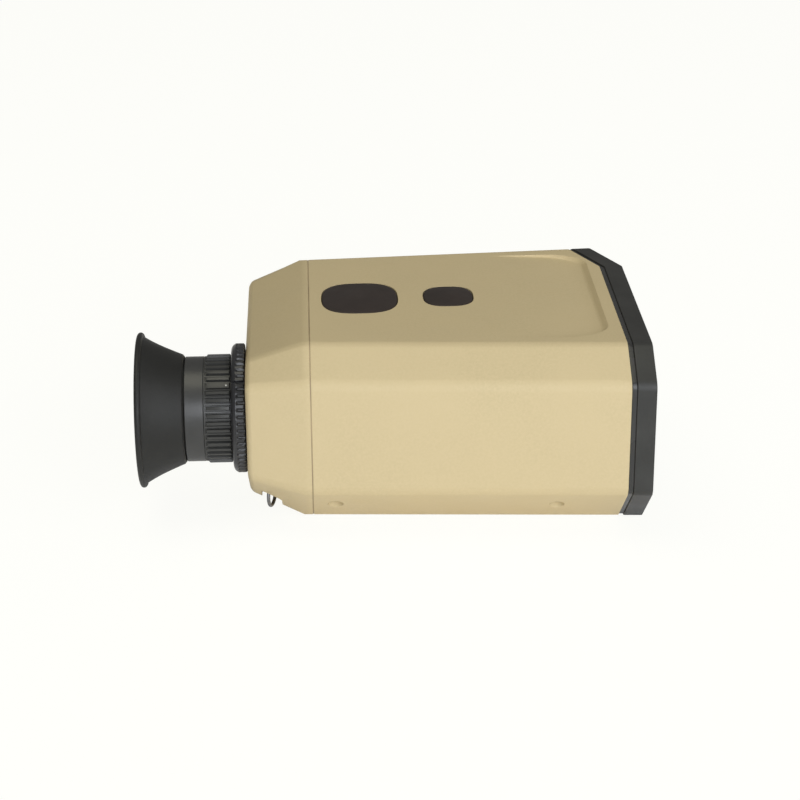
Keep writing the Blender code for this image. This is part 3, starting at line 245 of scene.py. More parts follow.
def soften(piece, width, segments=2, angle=32, crease=38):
    """Break a piece's sharp edges, and shade it smooth with flat facets kept flat."""
    edge = piece.modifiers.new("edges", "BEVEL")
    edge.width = width
    edge.segments = segments
    edge.limit_method = "ANGLE"
    edge.angle_limit = math.radians(angle)
    edge.use_clamp_overlap = True
    edge.miter_outer = "MITER_ARC"
    bake_steps(piece)
    piece.data.shade_smooth()
    piece.data.set_sharp_from_angle(angle=math.radians(crease))
    weigh = piece.modifiers.new("shading", "WEIGHTED_NORMAL")
    weigh.keep_sharp = True
    weigh.weight = 80
    bake_steps(piece)


def round_ring(bm, place, radius, depth, count=48):
    """A circle of points, a depth below a placed plane."""
    angles = [2 * math.pi * i / count for i in range(count)]
    return ring_of(bm, [place @ Vector((radius * math.cos(a), radius * math.sin(a), -depth)) for a in angles])


def drill(axis, centre, steps, segments=48):
    """A turned cutter: (distance along axis, radius) steps, from its start to its end."""
    bm = bmesh.new()
    turn = {"X": Matrix.Rotation(math.pi / 2, 4, "Y"), "Z": Matrix.Identity(4)}[axis]
    along = {"X": Vector((1, 0, 0)), "Z": Vector((0, 0, 1))}[axis]
    rings = []
    for distance, radius in steps:
        place = Matrix.Translation(Vector(centre) + along * distance) @ turn
        rings.append(round_ring(bm, place, radius, 0.0, segments))
    skin(bm, rings)
    return bm


def key_ring(bm, x, half_x, half_y, z, count=96, squareness=2.8):
    """A squarish oval in a level plane."""
    power = 2 / squareness
    points = []
    for i in range(count):
        c, s = math.cos(2 * math.pi * i / count), math.sin(2 * math.pi * i / count)
        points.append((x + half_x * math.copysign(abs(c) ** power, c),
                       half_y * math.copysign(abs(s) ** power, s), z))
    return ring_of(bm, points)


def plain_finish(name, colour, roughness, metallic=0.0):
    """A Principled material, its node tree, its shader and its Object coordinates."""
    material = bpy.data.materials.new(name)
    material.use_nodes = True
    tree = material.node_tree
    shader = tree.nodes["Principled BSDF"]
    shader.inputs["Base Color"].default_value = (*colour, 1)
    shader.inputs["Roughness"].default_value = roughness
    shader.inputs["Metallic"].default_value = metallic
    place = tree.nodes.new("ShaderNodeTexCoord").outputs["Object"]
    return material, tree, shader, place


def grain(tree, place, scale, detail=3.0, roughness=0.55):
    """A noise of a given number of waves to the metre."""
    noise = tree.nodes.new("ShaderNodeTexNoise")
    noise.inputs["Scale"].default_value = scale
    noise.inputs["Detail"].default_value = detail
    noise.inputs["Roughness"].default_value = roughness
    tree.links.new(place, noise.inputs["Vector"])
    return noise.outputs["Fac"]


def spread(tree, value, low, high, low_out, high_out):
    """Map a noise's middle range to the range that is wanted."""
    node = tree.nodes.new("ShaderNodeMapRange")
    for socket, number in zip(("From Min", "From Max", "To Min", "To Max"), (low, high, low_out, high_out)):
        node.inputs[socket].default_value = number
    tree.links.new(value, node.inputs["Value"])
    return node.outputs["Result"]


def blend_colours(tree, share, first, second):
    """A colour that runs from first to second."""
    node = tree.nodes.new("ShaderNodeMix")
    node.data_type = "RGBA"
    for socket, value in zip([s for s in node.inputs if s.type == "RGBA"], (first, second)):
        if isinstance(value, tuple):
            socket.default_value = (*value, 1)
        else:
            tree.links.new(value, socket)
    tree.links.new(share, node.inputs[0])
    return next(s for s in node.outputs if s.type == "RGBA")


def relief(tree, shader, value, depth, strength=1.0, under=None):
    """Raise the surface by a value times a depth in metres."""
    node = tree.nodes.new("ShaderNodeBump")
    node.inputs["Distance"].default_value = depth
    node.inputs["Strength"].default_value = strength
    tree.links.new(value, node.inputs["Height"])
    if under is not None:
        tree.links.new(under, node.inputs["Normal"])
    tree.links.new(node.outputs["Normal"], shader.inputs["Normal"])
    return node.outputs["Normal"]


def sand_paint():
    """Matt powder coat: a fine orange-peel skin, faint mottling and lightly rubbed patches."""
    material, tree, shader, place = plain_finish("sand_powder_coat", (0.60, 0.49, 0.31), 0.52)
    mottle = spread(tree, grain(tree, place, 38, 4), 0.35, 0.65, 0.0, 1.0)
    speck = spread(tree, grain(tree, place, 1500, 2), 0.30, 0.70, 0.0, 1.0)
    base = blend_colours(tree, mottle, (0.572, 0.468, 0.272), (0.604, 0.492, 0.287))
    tone = blend_colours(tree, speck, base, (0.615, 0.502, 0.298))
    tree.links.new(tone, shader.inputs["Base Color"])
    rubbed = spread(tree, grain(tree, place, 70, 5), 0.35, 0.68, 0.46, 0.60)
    tree.links.new(rubbed, shader.inputs["Roughness"])
    shader.inputs["Specular IOR Level"].default_value = 0.26
    peel = relief(tree, shader, grain(tree, place, 2600, 2), 0.00002, 0.5)
    relief(tree, shader, grain(tree, place, 700, 2), 0.00001, 0.4, peel)
    return material


sand = sand_paint()

shell = bmesh.new()
skin(shell, [facet_ring(shell, seam_x), facet_ring(shell, joint_x)])
round_along(shell, [(lambda x, z=z: z, width) for z, width in facet_rounds])
slant_front(shell, joint_x - 0.02)
main_shell = new_piece("main_shell", shell, sand)

hollow = bmesh.new()
skin(hollow, [facet_ring(hollow, seam_x - 0.004, wall), facet_ring(hollow, joint_x + 0.02, wall)])

recess_end, recess_half = joint_x - 0.0032, 0.0303
recess_start, recess_depth, recess_slope = recess_end - 0.0256, 0.0012, 0.0013
thumb = bmesh.new()
skin(thumb, [ring_of(thumb, [(recess_start, y, height), (recess_end - recess_slope, y, height - recess_depth),
                             (recess_end, y, height), (recess_end, y, height + 0.004),
                             (recess_start, y, height + 0.004)]) for y in (-recess_half, recess_half)])
corners = [edge for edge in thumb.edges
           if all(vert.co.x > recess_end - 0.002 and abs(abs(vert.co.y) - recess_half) < 1e-5 for vert in edge.verts)
           and abs(edge.verts[0].co.z - edge.verts[1].co.z) > 0.0005]
bmesh.ops.bevel(thumb, geom=corners, offset=0.0075, segments=10, profile=0.5, affect="EDGES", material=-1)
thumb.normal_update()
floor = min(thumb.faces, key=lambda face: face.normal.z)
foot = [edge for edge in floor.edges if max(vert.co.x for vert in edge.verts) > recess_start + 1e-5]
bmesh.ops.bevel(thumb, geom=foot, offset=0.0005, segments=4, profile=0.5, affect="EDGES", material=-1)

key_gap = 0.00005
key_places = []
for node in ("measure_button", "mode_button"):
    low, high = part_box(node)
    flange = 0.0009
    key_places.append(((low[0] + high[0]) / 2, (high[0] - low[0]) / 2 - flange, (high[1] - low[1]) / 2 - flange))
key_holes = []
for x, half_x, half_y in key_places:
    hole = bmesh.new()
    skin(hole, [key_ring(hole, x, half_x + key_gap, half_y + key_gap, z) for z in (height - 0.006, height + 0.004)])
    key_holes.append(hole)

head_bore = 0.0020
case_screws = ("case_screw_rear_near", "case_screw_rear_far", "case_screw_front_near", "case_screw_front_far")
screw_holes = []
for node in case_screws:
    low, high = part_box(node)
    centre = ((low[0] + high[0]) / 2, (low[1] + high[1]) / 2, 0)
    screw_holes.append(drill("Z", centre, ((-0.002, head_bore), (low[2] + 0.0021, head_bore))))
insert_low, insert_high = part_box("tripod_insert")
insert_at = ((insert_low[0] + insert_high[0]) / 2, 0, 0)
socket_hole = drill("Z", insert_at, ((-0.002, 0.0058), (0.0085, 0.0058)), 64)
carve(main_shell, hollow, thumb, *key_holes, *screw_holes, socket_hole)
soften(main_shell, 0.00022)
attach(main_shell, "housing")
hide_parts("main_housing")


# Rear housing
# The shorter cast shell behind the seam, in the same coat. It narrows to a flat rear face, which
# is bored for the eyepiece and the battery, and its bottom corners are notched for the strap.

rear_x, rear_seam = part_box("rear_housing")[0][0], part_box("rear_housing")[1][0]
taper_length, rear_wall = 0.0140, 0.0030
taper_x = rear_x + taper_length


def taper_level(flat, drift):
    """The height of a long edge at a station, flat in front of the taper."""
    return lambda x: flat + drift * max(0.0, (taper_x - x) / taper_length)


rear = bmesh.new()
skin(rear, [facet_ring(rear, rear_x, 0, 1), facet_ring(rear, taper_x), facet_ring(rear, rear_seam)])
drifts = (0.0060, 0.0030, -0.0017, -0.0056)
folds = [edge for edge in rear.edges if all(abs(vert.co.x - taper_x) < 1e-6 for vert in edge.verts)]
round_along(rear, [(taper_level(z, drift), width) for (z, width), drift in zip(facet_rounds, drifts)], 6)
rim = [edge for edge in rear.edges if all(abs(vert.co.x - rear_x) < 1e-5 for vert in edge.verts)]
bmesh.ops.bevel(rear, geom=rim, offset=0.0015, segments=5, profile=0.5, affect="EDGES", material=-1,
                clamp_overlap=True)
rear_shell = new_piece("rear_shell", rear, sand)

rear_hollow = bmesh.new()
skin(rear_hollow, [facet_ring(rear_hollow, rear_x + rear_wall, wall, 0.78),
                   facet_ring(rear_hollow, taper_x, wall), facet_ring(rear_hollow, rear_seam + 0.004, wall)])
bay_y = (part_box("battery_plug")[0][1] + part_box("battery_plug")[1][1]) / 2
eyepiece_hole = drill("X", (rear_x, eye_y, optic_z), ((-0.002, 0.0119), (0.006, 0.0119)), 96)
battery_hole = drill("X", (rear_x, bay_y, optic_z), ((-0.002, 0.0099), (0.006, 0.0099)), 96)
slots, blocks, rear_screw_holes = [], [], []
for node in ("strap_pin_near", "strap_pin_far"):
    low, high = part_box(node)
    x, y = (low[0] + high[0]) / 2, (low[1] + high[1]) / 2
    side = math.copysign(1, y)
    slot_form = bmesh.new()
    bmesh.ops.create_cube(slot_form, size=1.0)
    bmesh.ops.scale(slot_form, vec=(0.0052, 0.0115, 0.0132), verts=slot_form.verts)
    bmesh.ops.translate(slot_form, vec=(x, side * 0.02475, 0.0046), verts=slot_form.verts)
    upright = [edge for edge in slot_form.edges if abs(edge.verts[0].co.z - edge.verts[1].co.z) > 0.005]
    bmesh.ops.bevel(slot_form, geom=upright, offset=0.0012, segments=5, profile=0.5, affect="EDGES", material=-1)
    slots.append(slot_form)
    block = bmesh.new()
    bmesh.ops.create_cube(block, size=1.0)
    bmesh.ops.scale(block, vec=(0.0100, 0.0200, 0.0156), verts=block.verts)
    bmesh.ops.translate(block, vec=(x, side * 0.0260, 0.0058), verts=block.verts)
    blocks.append(block)
for node in ("rear_screw_near", "rear_screw_far"):
    low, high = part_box(node)
    centre = (rear_x, (low[1] + high[1]) / 2, (low[2] + high[2]) / 2)
    rear_screw_holes.append(drill("X", centre, ((-0.002, head_bore), (0.0024, head_bore))))
hollow_piece = new_piece("rear_hollow", rear_hollow, sand)
carve(hollow_piece, *blocks)
rear_hollow = bmesh.new()
rear_hollow.from_mesh(hollow_piece.data)
bpy.data.objects.remove(hollow_piece)
carve(rear_shell, rear_hollow, eyepiece_hole, battery_hole, *slots, *rear_screw_holes)
soften(rear_shell, 0.00020, angle=36)
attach(rear_shell, "housing")
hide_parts("rear_housing")


# Seam seal
# A soft brown-black lip moulded round the shells' joint. It fills the seam just below the paint
# and keeps dust and rain out.


def black_satin(name, colour, roughness, scale, depth, shine=0.5):
    """A dark moulded or anodised surface with a fine even texture and faint handling marks."""
    material, tree, shader, place = plain_finish(name, colour, roughness)
    shader.inputs["Specular IOR Level"].default_value = shine
    lighter = tuple(min(1.0, part * 1.35) for part in colour)
    mottle = spread(tree, grain(tree, place, 90, 4), 0.35, 0.65, 0.0, 1.0)
    tree.links.new(blend_colours(tree, mottle, colour, lighter), shader.inputs["Base Color"])
    handled = spread(tree, grain(tree, place, 60, 5), 0.35, 0.70, roughness - 0.06, roughness + 0.08)
    tree.links.new(handled, shader.inputs["Roughness"])
    relief(tree, shader, grain(tree, place, scale, 2), depth, 0.5)
    return material


def outline_plate(start, length, inset, rounds, segments=7):
    """A plate with the housing's outline at a station, rounded at its long edges."""
    bm = bmesh.new()
    skin(bm, [facet_ring(bm, start, inset), facet_ring(bm, start + length, inset)])
    for edge_z, width in rounds:
        edges = [edge for edge in bm.edges
                 if abs(edge.verts[0].co.x - edge.verts[1].co.x) > length / 2
                 and all(abs(vert.co.z - edge_z) < 0.0007 for vert in edge.verts)]
        bmesh.ops.bevel(bm, geom=edges, offset=width, segments=segments, profile=0.5, affect="EDGES",
                        material=-1, clamp_overlap=True)
    return bm


seam_rubber = black_satin("seam_rubber", (0.33, 0.25, 0.15), 0.6, 900, 0.00002)
lip = outline_plate(rear_seam + 0.00001, seam_x - rear_seam - 0.00002, 0.0001, facet_rounds)
seam_seal = new_piece("seam_seal", lip, seam_rubber)
lip_hollow = bmesh.new()
skin(lip_hollow, [facet_ring(lip_hollow, seam_x - 0.01, wall), facet_ring(lip_hollow, seam_x + 0.01, wall)])
carve(seam_seal, lip_hollow)
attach(seam_seal, "housing")
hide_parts("rear_gasket")


# Front gasket
# A flat moulded rubber seal, pinched between the sand shell and the bezel so that only its
# glossy edge shows.

gasket_start, gasket_length = joint_x + 0.00006, 0.00128
crisp_rounds = ((0.0, 0.0011), (0.0140, 0.0014), (height - 0.0071, 0.0016), (height, 0.0010))
gasket_rubber = black_satin("gasket_rubber", (0.028, 0.028, 0.027), 0.26, 900, 0.00002)
seal = outline_plate(gasket_start, gasket_length, 0.00035, crisp_rounds)
slant_front(seal, gasket_start - 0.001)
gasket = new_piece("bezel_gasket", seal, gasket_rubber)
gasket_hollow = bmesh.new()
skin(gasket_hollow, [facet_ring(gasket_hollow, joint_x - 0.02, wall), facet_ring(gasket_hollow, joint_x + 0.02, wall)])
carve(gasket, gasket_hollow)
soften(gasket, 0.00012)
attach(gasket, "housing")
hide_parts("front_gasket")


# Front bezel
# A black moulded cover over the front end, screwed on from the front. It is bored and
# counterbored for the two large windows and the small laser window.

front_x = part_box("front_bezel")[1][0]
bezel_start = gasket_start + gasket_length + 0.00003
window_seats = (("objective", 0.0122, 96), ("receiver", 0.0109, 96), ("emitter", 0.0042, 64))
bezel_moulding = black_satin("bezel_moulding", (0.029, 0.029, 0.027), 0.42, 1300, 0.00003, 0.4)
cover = outline_plate(bezel_start, front_x - bezel_start, 0.0, crisp_rounds)
slant_front(cover, bezel_start - 0.001)
bezel = new_piece("bezel_cover", cover, bezel_moulding)
bores = []
for name, radius, segments in window_seats:
    low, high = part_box(f"{name}_window")
    y, z = (low[1] + high[1]) / 2, (low[2] + high[2]) / 2
    bores.append(drill("X", (low[0], y, z), ((-0.03, radius - 0.001), (-0.0003, radius - 0.001),
                                             (-0.0003, radius + 0.0003), (0.01, radius + 0.0003)), segments))
for node in ("bezel_screw_near", "bezel_screw_far"):
    low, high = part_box(node)
    y, z = (low[1] + high[1]) / 2, (low[2] + high[2]) / 2
    seat = high[0] - 0.0018 - 0.0003
    bores.append(drill("X", (seat, y, z), ((-0.03, 0.0014), (0, 0.0014), (0, head_bore), (0.02, head_bore))))
carve(bezel, *bores)
soften(bezel, 0.00045, 3)
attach(bezel, "housing")
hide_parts("front_bezel")


# Windows and their rings
# Coated optical flats with ground edges. The two large ones are held by threaded black rings
# with two notches for a pin spanner, and the small one is cemented in.


def turned_piece(name, profile, y, z, finish, segments=96, closed=False):
    """Spin a profile of (x, radius) points about an axis along X."""
    bm = bmesh.new()
    verts = [bm.verts.new((x, y, z + radius)) for x, radius in profile]
    pairs = list(zip(verts, verts[1:])) + ([(verts[-1], verts[0])] if closed else [])
    edges = [bm.edges.new(pair) for pair in pairs]
    bmesh.ops.spin(bm, geom=verts + edges, cent=(0, y, z), axis=(1, 0, 0), angle=2 * math.pi,
                   steps=segments, use_merge=True)
    bmesh.ops.remove_doubles(bm, verts=bm.verts, dist=1e-6)
    bmesh.ops.recalc_face_normals(bm, faces=bm.faces)
    piece = new_piece(name, bm, finish)
    piece.data.shade_smooth()
    piece.data.set_sharp_from_angle(angle=math.radians(34))
    return piece


def coated_glass(name, tint, film):
    """Optical glass with an anti-reflection coating that throws back a faint colour."""
    material, tree, shader, place = plain_finish(name, tint, 0.02)
    shader.inputs["Transmission Weight"].default_value = 1.0
    shader.inputs["IOR"].default_value = 1.52
    shader.inputs["Thin Film Thickness"].default_value = film
    shader.inputs["Thin Film IOR"].default_value = 1.38
    dust = spread(tree, grain(tree, place, 160, 4), 0.55, 0.80, 0.015, 0.05)
    tree.links.new(dust, shader.inputs["Roughness"])
    return material


window_glass = coated_glass("window_glass", (0.90, 0.97, 0.94), 430.0)
anodised = black_satin("black_anodised", (0.020, 0.020, 0.022), 0.33, 2200, 0.00001)
for name, radius, segments in window_seats:
    low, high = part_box(f"{name}_window")
    y, z, ground = (low[1] + high[1]) / 2, (low[2] + high[2]) / 2, 0.0002
    flat = [(low[0], 0), (low[0], radius - ground), (low[0] + ground, radius), (high[0] - ground, radius),
            (high[0], radius - ground), (high[0], 0)]
    glass = turned_piece(f"{name}_flat", flat, y, z, window_glass, segments)
    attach(glass, "housing")
    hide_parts(f"{name}_window")
    if name == "emitter":
        continue
    low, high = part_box(f"{name}_ring")
    inner, soft = radius - 0.001, 0.0002
    section = [(low[0], inner), (low[0], radius), (high[0] - soft, radius), (high[0], radius - soft),
               (high[0], inner + 0.0004), (high[0] - 0.0004, inner)]
    ring = turned_piece(f"{name}_lock", section, y, z, anodised, segments, closed=True)
    notch = bmesh.new()
    bmesh.ops.create_cube(notch, size=1.0)
    bmesh.ops.scale(notch, vec=(0.0010, 0.0012, 0.06), verts=notch.verts)
    bmesh.ops.translate(notch, vec=(high[0], y, z), verts=notch.verts)
    carve(ring, notch)
    soften(ring, 0.00006)
    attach(ring, "housing")
    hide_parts(f"{name}_ring")


# Eyepiece lock ring
# A black anodised ring that clamps the eyepiece tube to the rear face. Its rear shoulder is
# rounded, and shallow scallops for the fingers run out into the shoulder.

lock_low, lock_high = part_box("eyepiece_flange")
lock_start, lock_end = lock_low[0], lock_high[0]
lock_radius, lock_depth, scallops = 0.01655, 0.0005, 58
lock_bore = 0.0119


def scallop_ring(bm, x, limit, sunk, per=10):
    """A circle that dips between the finger lands, fully where sunk is 1, and nowhere past limit."""
    count = scallops * per
    points = []
    for i in range(count):
        angle = 2 * math.pi * (i + 0.5) / count
        across = abs((i % per) / per - 0.5) / 0.26
        dip = max(0.0, 1 - across ** 2.2)
        radius = min(limit, lock_radius - lock_depth * sunk * dip)
        points.append((x, eye_y + radius * math.cos(angle), optic_z + radius * math.sin(angle)))
    return ring_of(bm, points)


lock = bmesh.new()
lock_rings = [scallop_ring(lock, lock_end, lock_bore, 0), scallop_ring(lock, lock_end, lock_radius - 0.0003, 1),
              scallop_ring(lock, lock_end - 0.0003, lock_radius, 1)]
shoulder, run_out = 0.0016, 0.0011
for k in range(7):
    share = k / 6
    lock_rings.append(scallop_ring(lock, lock_start + run_out + 0.0007 * (1 - share), lock_radius,
                                   1 - share * share * (3 - 2 * share)))
for k in range(3, 13):
    angle = math.pi / 2 * k / 12
    lock_rings.append(scallop_ring(lock, lock_start + shoulder * (1 - math.sin(angle)),
                                   lock_radius - shoulder * (1 - math.cos(angle)), 0))
lock_rings.append(scallop_ring(lock, lock_start, lock_bore, 0))
skin(lock, lock_rings, False, False)
strip(lock, lock_rings[-1], lock_rings[0])
bmesh.ops.recalc_face_normals(lock, faces=lock.faces)
lock_ring = new_piece("eyepiece_lock_ring", lock, anodised)
lock_ring.data.shade_smooth()
lock_ring.data.set_sharp_from_angle(angle=math.radians(40))
mark = bmesh.new()
bmesh.ops.create_cube(mark, size=1.0)
bmesh.ops.scale(mark, vec=(0.010, 0.0022, 0.00042), verts=mark.verts)
mark_angle = math.radians(47)
bmesh.ops.rotate(mark, cent=(0, 0, 0), matrix=Matrix.Rotation(-mark_angle, 3, "X"), verts=mark.verts)
bmesh.ops.translate(mark, verts=mark.verts,
                    vec=(lock_start, eye_y - lock_radius * math.cos(mark_angle), optic_z + lock_radius * math.sin(mark_angle)))
carve(lock_ring, mark)
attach(lock_ring, "housing")
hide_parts("eyepiece_flange")


# Diopter ring
# A moulded rubber ring that turns to focus the eyepiece. Forty-four ribs stand proud, each in a
# groove that closes round its rear end, and one rib is wide, with a small dot as the index.

grip_start, grip_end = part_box("diopter_ring")[0][0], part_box("diopter_ring")[1][0]
land_radius, rib_height, groove_depth, ribs, rib_cells = 0.01345, 0.00045, 0.00025, 44, 14
grip_bore = 0.0130
index_angle = math.radians(132)
focus_rubber = black_satin("focus_rubber", (0.034, 0.034, 0.032), 0.40, 1500, 0.00002)


def grip_ring(bm, x, radius, groove=0.0, rib=0.0):
    """A circle with a groove, a rib and a groove at every pitch, each raised by its own height."""
    count = ribs * rib_cells
    points = []
    for i in range(count):
        angle = index_angle + 2 * math.pi * (i - (rib_cells - 1) / 2) / count
        pitch, cell = divmod(i, rib_cells)
        from_edge = min(cell, rib_cells - 1 - cell)
        land, groove_end = (1, 2) if pitch == 0 else (2, 4)
        size = radius + (0.0 if from_edge < land else groove if from_edge < groove_end else rib)
        points.append((x, eye_y + size * math.cos(angle), optic_z + size * math.sin(angle)))
    return ring_of(bm, points)


grip = bmesh.new()
edge_round, closed_end, rib_gap = 0.0001, 0.00035, 0.00030
pocket_start = grip_start + closed_end
grip_rings = [grip_ring(grip, grip_start, grip_bore), grip_ring(grip, grip_start, land_radius - edge_round),
              grip_ring(grip, grip_start + edge_round, land_radius), grip_ring(grip, pocket_start, land_radius)]
for x, rib in ((pocket_start + 0.00008, -groove_depth), (pocket_start + rib_gap, -groove_depth),
               (pocket_start + rib_gap + 0.00010, rib_height * 0.7), (pocket_start + rib_gap + 0.00035, rib_height),
               (grip_end - 0.0002, rib_height), (grip_end, rib_height - 0.0002)):
    grip_rings.append(grip_ring(grip, x, land_radius, -groove_depth, rib))
grip_rings.append(grip_ring(grip, grip_end, grip_bore))
skin(grip, grip_rings, False, False)
strip(grip, grip_rings[-1], grip_rings[0])
bmesh.ops.recalc_face_normals(grip, faces=grip.faces)
focus_grip = new_piece("focus_grip", grip, focus_rubber)
focus_grip.data.shade_smooth()
focus_grip.data.set_sharp_from_angle(angle=math.radians(30))
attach(focus_grip, "diopter")
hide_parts("diopter_ring")

dot_paint, dot_tree, dot_shader, dot_place = plain_finish("index_dot_paint", (0.55, 0.54, 0.50), 0.5)
dot_tone = spread(dot_tree, grain(dot_tree, dot_place, 3000, 2), 0.3, 0.7, 0.42, 0.58)
dot_tree.links.new(dot_tone, dot_shader.inputs["Roughness"])
dot = bmesh.new()
bmesh.ops.create_uvsphere(dot, u_segments=24, v_segments=12, radius=0.00030)
bmesh.ops.translate(dot, verts=dot.verts,
                    vec=(grip_end - 0.0009, eye_y + (land_radius + rib_height - 0.00018) * math.cos(index_angle),
                         optic_z + (land_radius + rib_height - 0.00018) * math.sin(index_angle)))
index_dot = new_piece("index_dot", dot, dot_paint)
index_dot.data.shade_smooth()
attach(index_dot, "diopter")


# Diopter barrel
# The smooth black sleeve that carries the ribbed ring and the eyecup. It is turned from
# aluminium alloy, bead blasted and anodised.

barrel_low, barrel_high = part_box("diopter_barrel")
barrel_radius, sleeve_radius, barrel_bore = 0.01345, 0.0127, 0.0119
barrel_finish = black_satin("barrel_finish", (0.036, 0.036, 0.035), 0.36, 2600, 0.00001)
x0, x1, x2, soft = barrel_low[0], grip_start - 0.00004, barrel_high[0], 0.00012
profile = [(x2, barrel_bore), (x2, sleeve_radius), (x1, sleeve_radius), (x1, barrel_radius - soft),
           (x1 - soft, barrel_radius), (x0 + soft, barrel_radius), (x0, barrel_radius - soft), (x0, barrel_bore)]
barrel = turned_piece("focus_barrel", profile, eye_y, optic_z, barrel_finish, 128, closed=True)
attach(barrel, "diopter")
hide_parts("diopter_barrel")


# Eyecup
# A soft moulded rubber cup that flares out to a rounded rim. It is pressed on behind the barrel,
# and its inner wall carries fine rings that stop glare.

cup_low, cup_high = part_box("eyecup")
cup_base, cup_rim = cup_high[0], cup_low[0]
cup_length = cup_base - cup_rim
cup_foot, cup_mouth, cup_wall = 0.0139, 0.0199, 0.0020
cup_rubber = black_satin("cup_rubber", (0.014, 0.014, 0.013), 0.52, 1100, 0.00005, 0.35)


def cup_radius(share):
    """The outer radius of the cup at a share of its length from foot to rim."""
    return cup_foot + (cup_mouth - cup_foot) * (0.80 * share + 0.20 * share ** 3.2)


outer_steps, lip_reach, lip_x, lip_r = 30, 0.0015, 0.0008, 0.00085
reach = 1 - lip_reach / cup_length
cup_outer = [(cup_base - cup_length * reach * k / outer_steps, cup_radius(reach * k / outer_steps))
             for k in range(outer_steps + 1)]
cup_outer[0] = (cup_base, cup_foot - 0.0003)
cup_outer.insert(1, (cup_base - 0.0003, cup_foot))
lip = [(cup_rim + lip_x + lip_x * math.cos(a), cup_mouth - lip_r + lip_r * math.sin(a))
       for a in [math.radians(-40 + 275 * k / 24) for k in range(25)]]
cup_inner = []
inner_steps = 60
for k in range(inner_steps, -1, -1):
    share = k / inner_steps
    step = 0.00016 * (1 if (k // 2) % 2 and 0.12 < share < 0.80 else 0)
    cup_inner.append((cup_base - cup_length * reach * share, cup_radius(reach * share) - cup_wall - step))
cup = turned_piece("eyecup_rubber", cup_outer + lip + cup_inner, eye_y, optic_z, cup_rubber, 128, closed=True)
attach(cup, "diopter")
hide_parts("eyecup")


# Ocular cell and eye lens
# The focusing cell is a thin black tube that slides in the eyepiece tube, and the eye lens is a
# coated biconvex lens held near its rear end.

cell_low, cell_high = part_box("ocular_cell")
cell_radius, cell_bore = 0.0103, 0.0092
ledge = 0.0006
cell_profile = [(cell_low[0], cell_bore + ledge), (cell_low[0], cell_radius - 0.0002), (cell_low[0] + 0.0002, cell_radius),
                (cell_high[0], cell_radius), (cell_high[0], cell_bore), (cell_low[0] + 0.0008, cell_bore)]
cell = turned_piece("ocular_cell_tube", cell_profile, eye_y, optic_z, anodised, 96, closed=True)
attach(cell, "ocular")
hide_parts("ocular_cell")

lens_glass = coated_glass("lens_glass", (0.93, 0.96, 0.98), 520.0)
for node in ("eye_lens", "field_lens"):
    low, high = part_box(node)
    thick, radius = high[0] - low[0], (high[2] - low[2]) / 2
    bulge = 0.0010
    rear_face = [(low[0] + bulge * (k / 8) ** 2, radius * k / 8) for k in range(9)]
    front_face = [(high[0] - bulge * (k / 8) ** 2, radius * k / 8) for k in range(8, -1, -1)]
    lens = turned_piece(f"{node}_glass", rear_face + front_face, eye_y, optic_z, lens_glass, 72)
    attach(lens, "ocular")
    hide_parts(node)


# Keys
# Two moulded silicone keys in a brown black, one large and one small. Each is a low dome that
# stands just proud of the top, with a flange under the wall that keeps it in.


def key_silicone():
    """Smooth matt silicone with a faint grain and slightly polished patches."""
    material, tree, shader, place = plain_finish("key_silicone", (0.040, 0.029, 0.025), 0.50)
    mottle = spread(tree, grain(tree, place, 140, 3), 0.35, 0.65, 0.0, 1.0)
    tree.links.new(blend_colours(tree, mottle, (0.030, 0.022, 0.019), (0.037, 0.027, 0.023)), shader.inputs["Base Color"])
    polish = spread(tree, grain(tree, place, 110, 4), 0.35, 0.70, 0.44, 0.58)
    tree.links.new(polish, shader.inputs["Roughness"])
    shader.inputs["Specular IOR Level"].default_value = 0.35
    relief(tree, shader, grain(tree, place, 2400, 2), 0.00003, 0.5)
    return material


silicone = key_silicone()
key_proud = 0.0006
for (x, half_x, half_y), node, body in zip(key_places, ("measure_button", "mode_button"),
                                           ("measure_key", "mode_key")):
    low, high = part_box(node)
    half_x, half_y = half_x - 0.0001, half_y - 0.0001
    flange_top = height - wall - 0.0003
    flange_low = flange_top - 0.0012
    levels = [(-half_x * 0.78, -half_y * 0.80, low[2]), (-half_x * 0.78, -half_y * 0.80, flange_low),
              (0.0010, 0.0010, flange_low), (0.0010, 0.0010, flange_top), (0, 0, flange_top),
              (0, 0, height - 0.00045)]
    for k in range(1, 5):
        angle = math.pi / 2 * k / 4
        levels.append((-0.00055 * (1 - math.cos(angle)), -0.00055 * (1 - math.cos(angle)),
                       height - 0.00045 + 0.00055 * math.sin(angle)))
    crown_steps = 9
    bm = bmesh.new()
    rings = [key_ring(bm, x, half_x + a, half_y + b, z) for a, b, z in levels]
    for k in range(1, crown_steps):
        share = k / crown_steps
        size = 1 - share
        z = height + 0.0001 + (key_proud - 0.0001) * (1 - (1 - share) ** 2)
        rings.append(key_ring(bm, x, (half_x - 0.00055) * size, (half_y - 0.00055) * size, z))
    skin(bm, rings)
    key = new_piece(node.replace("button", "key_cap"), bm, silicone)
    key.data.shade_smooth()
    key.data.set_sharp_from_angle(angle=math.radians(50))
    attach(key, body)
    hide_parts(node)


# Screws
# Small steel cap screws with a chamfered head and a hexagon socket: four up into the chassis,
# two in the bezel and two in the rear face.

head_radius, head_height, shank_radius, socket = 0.0017, 0.0018, 0.0010, 0.00095


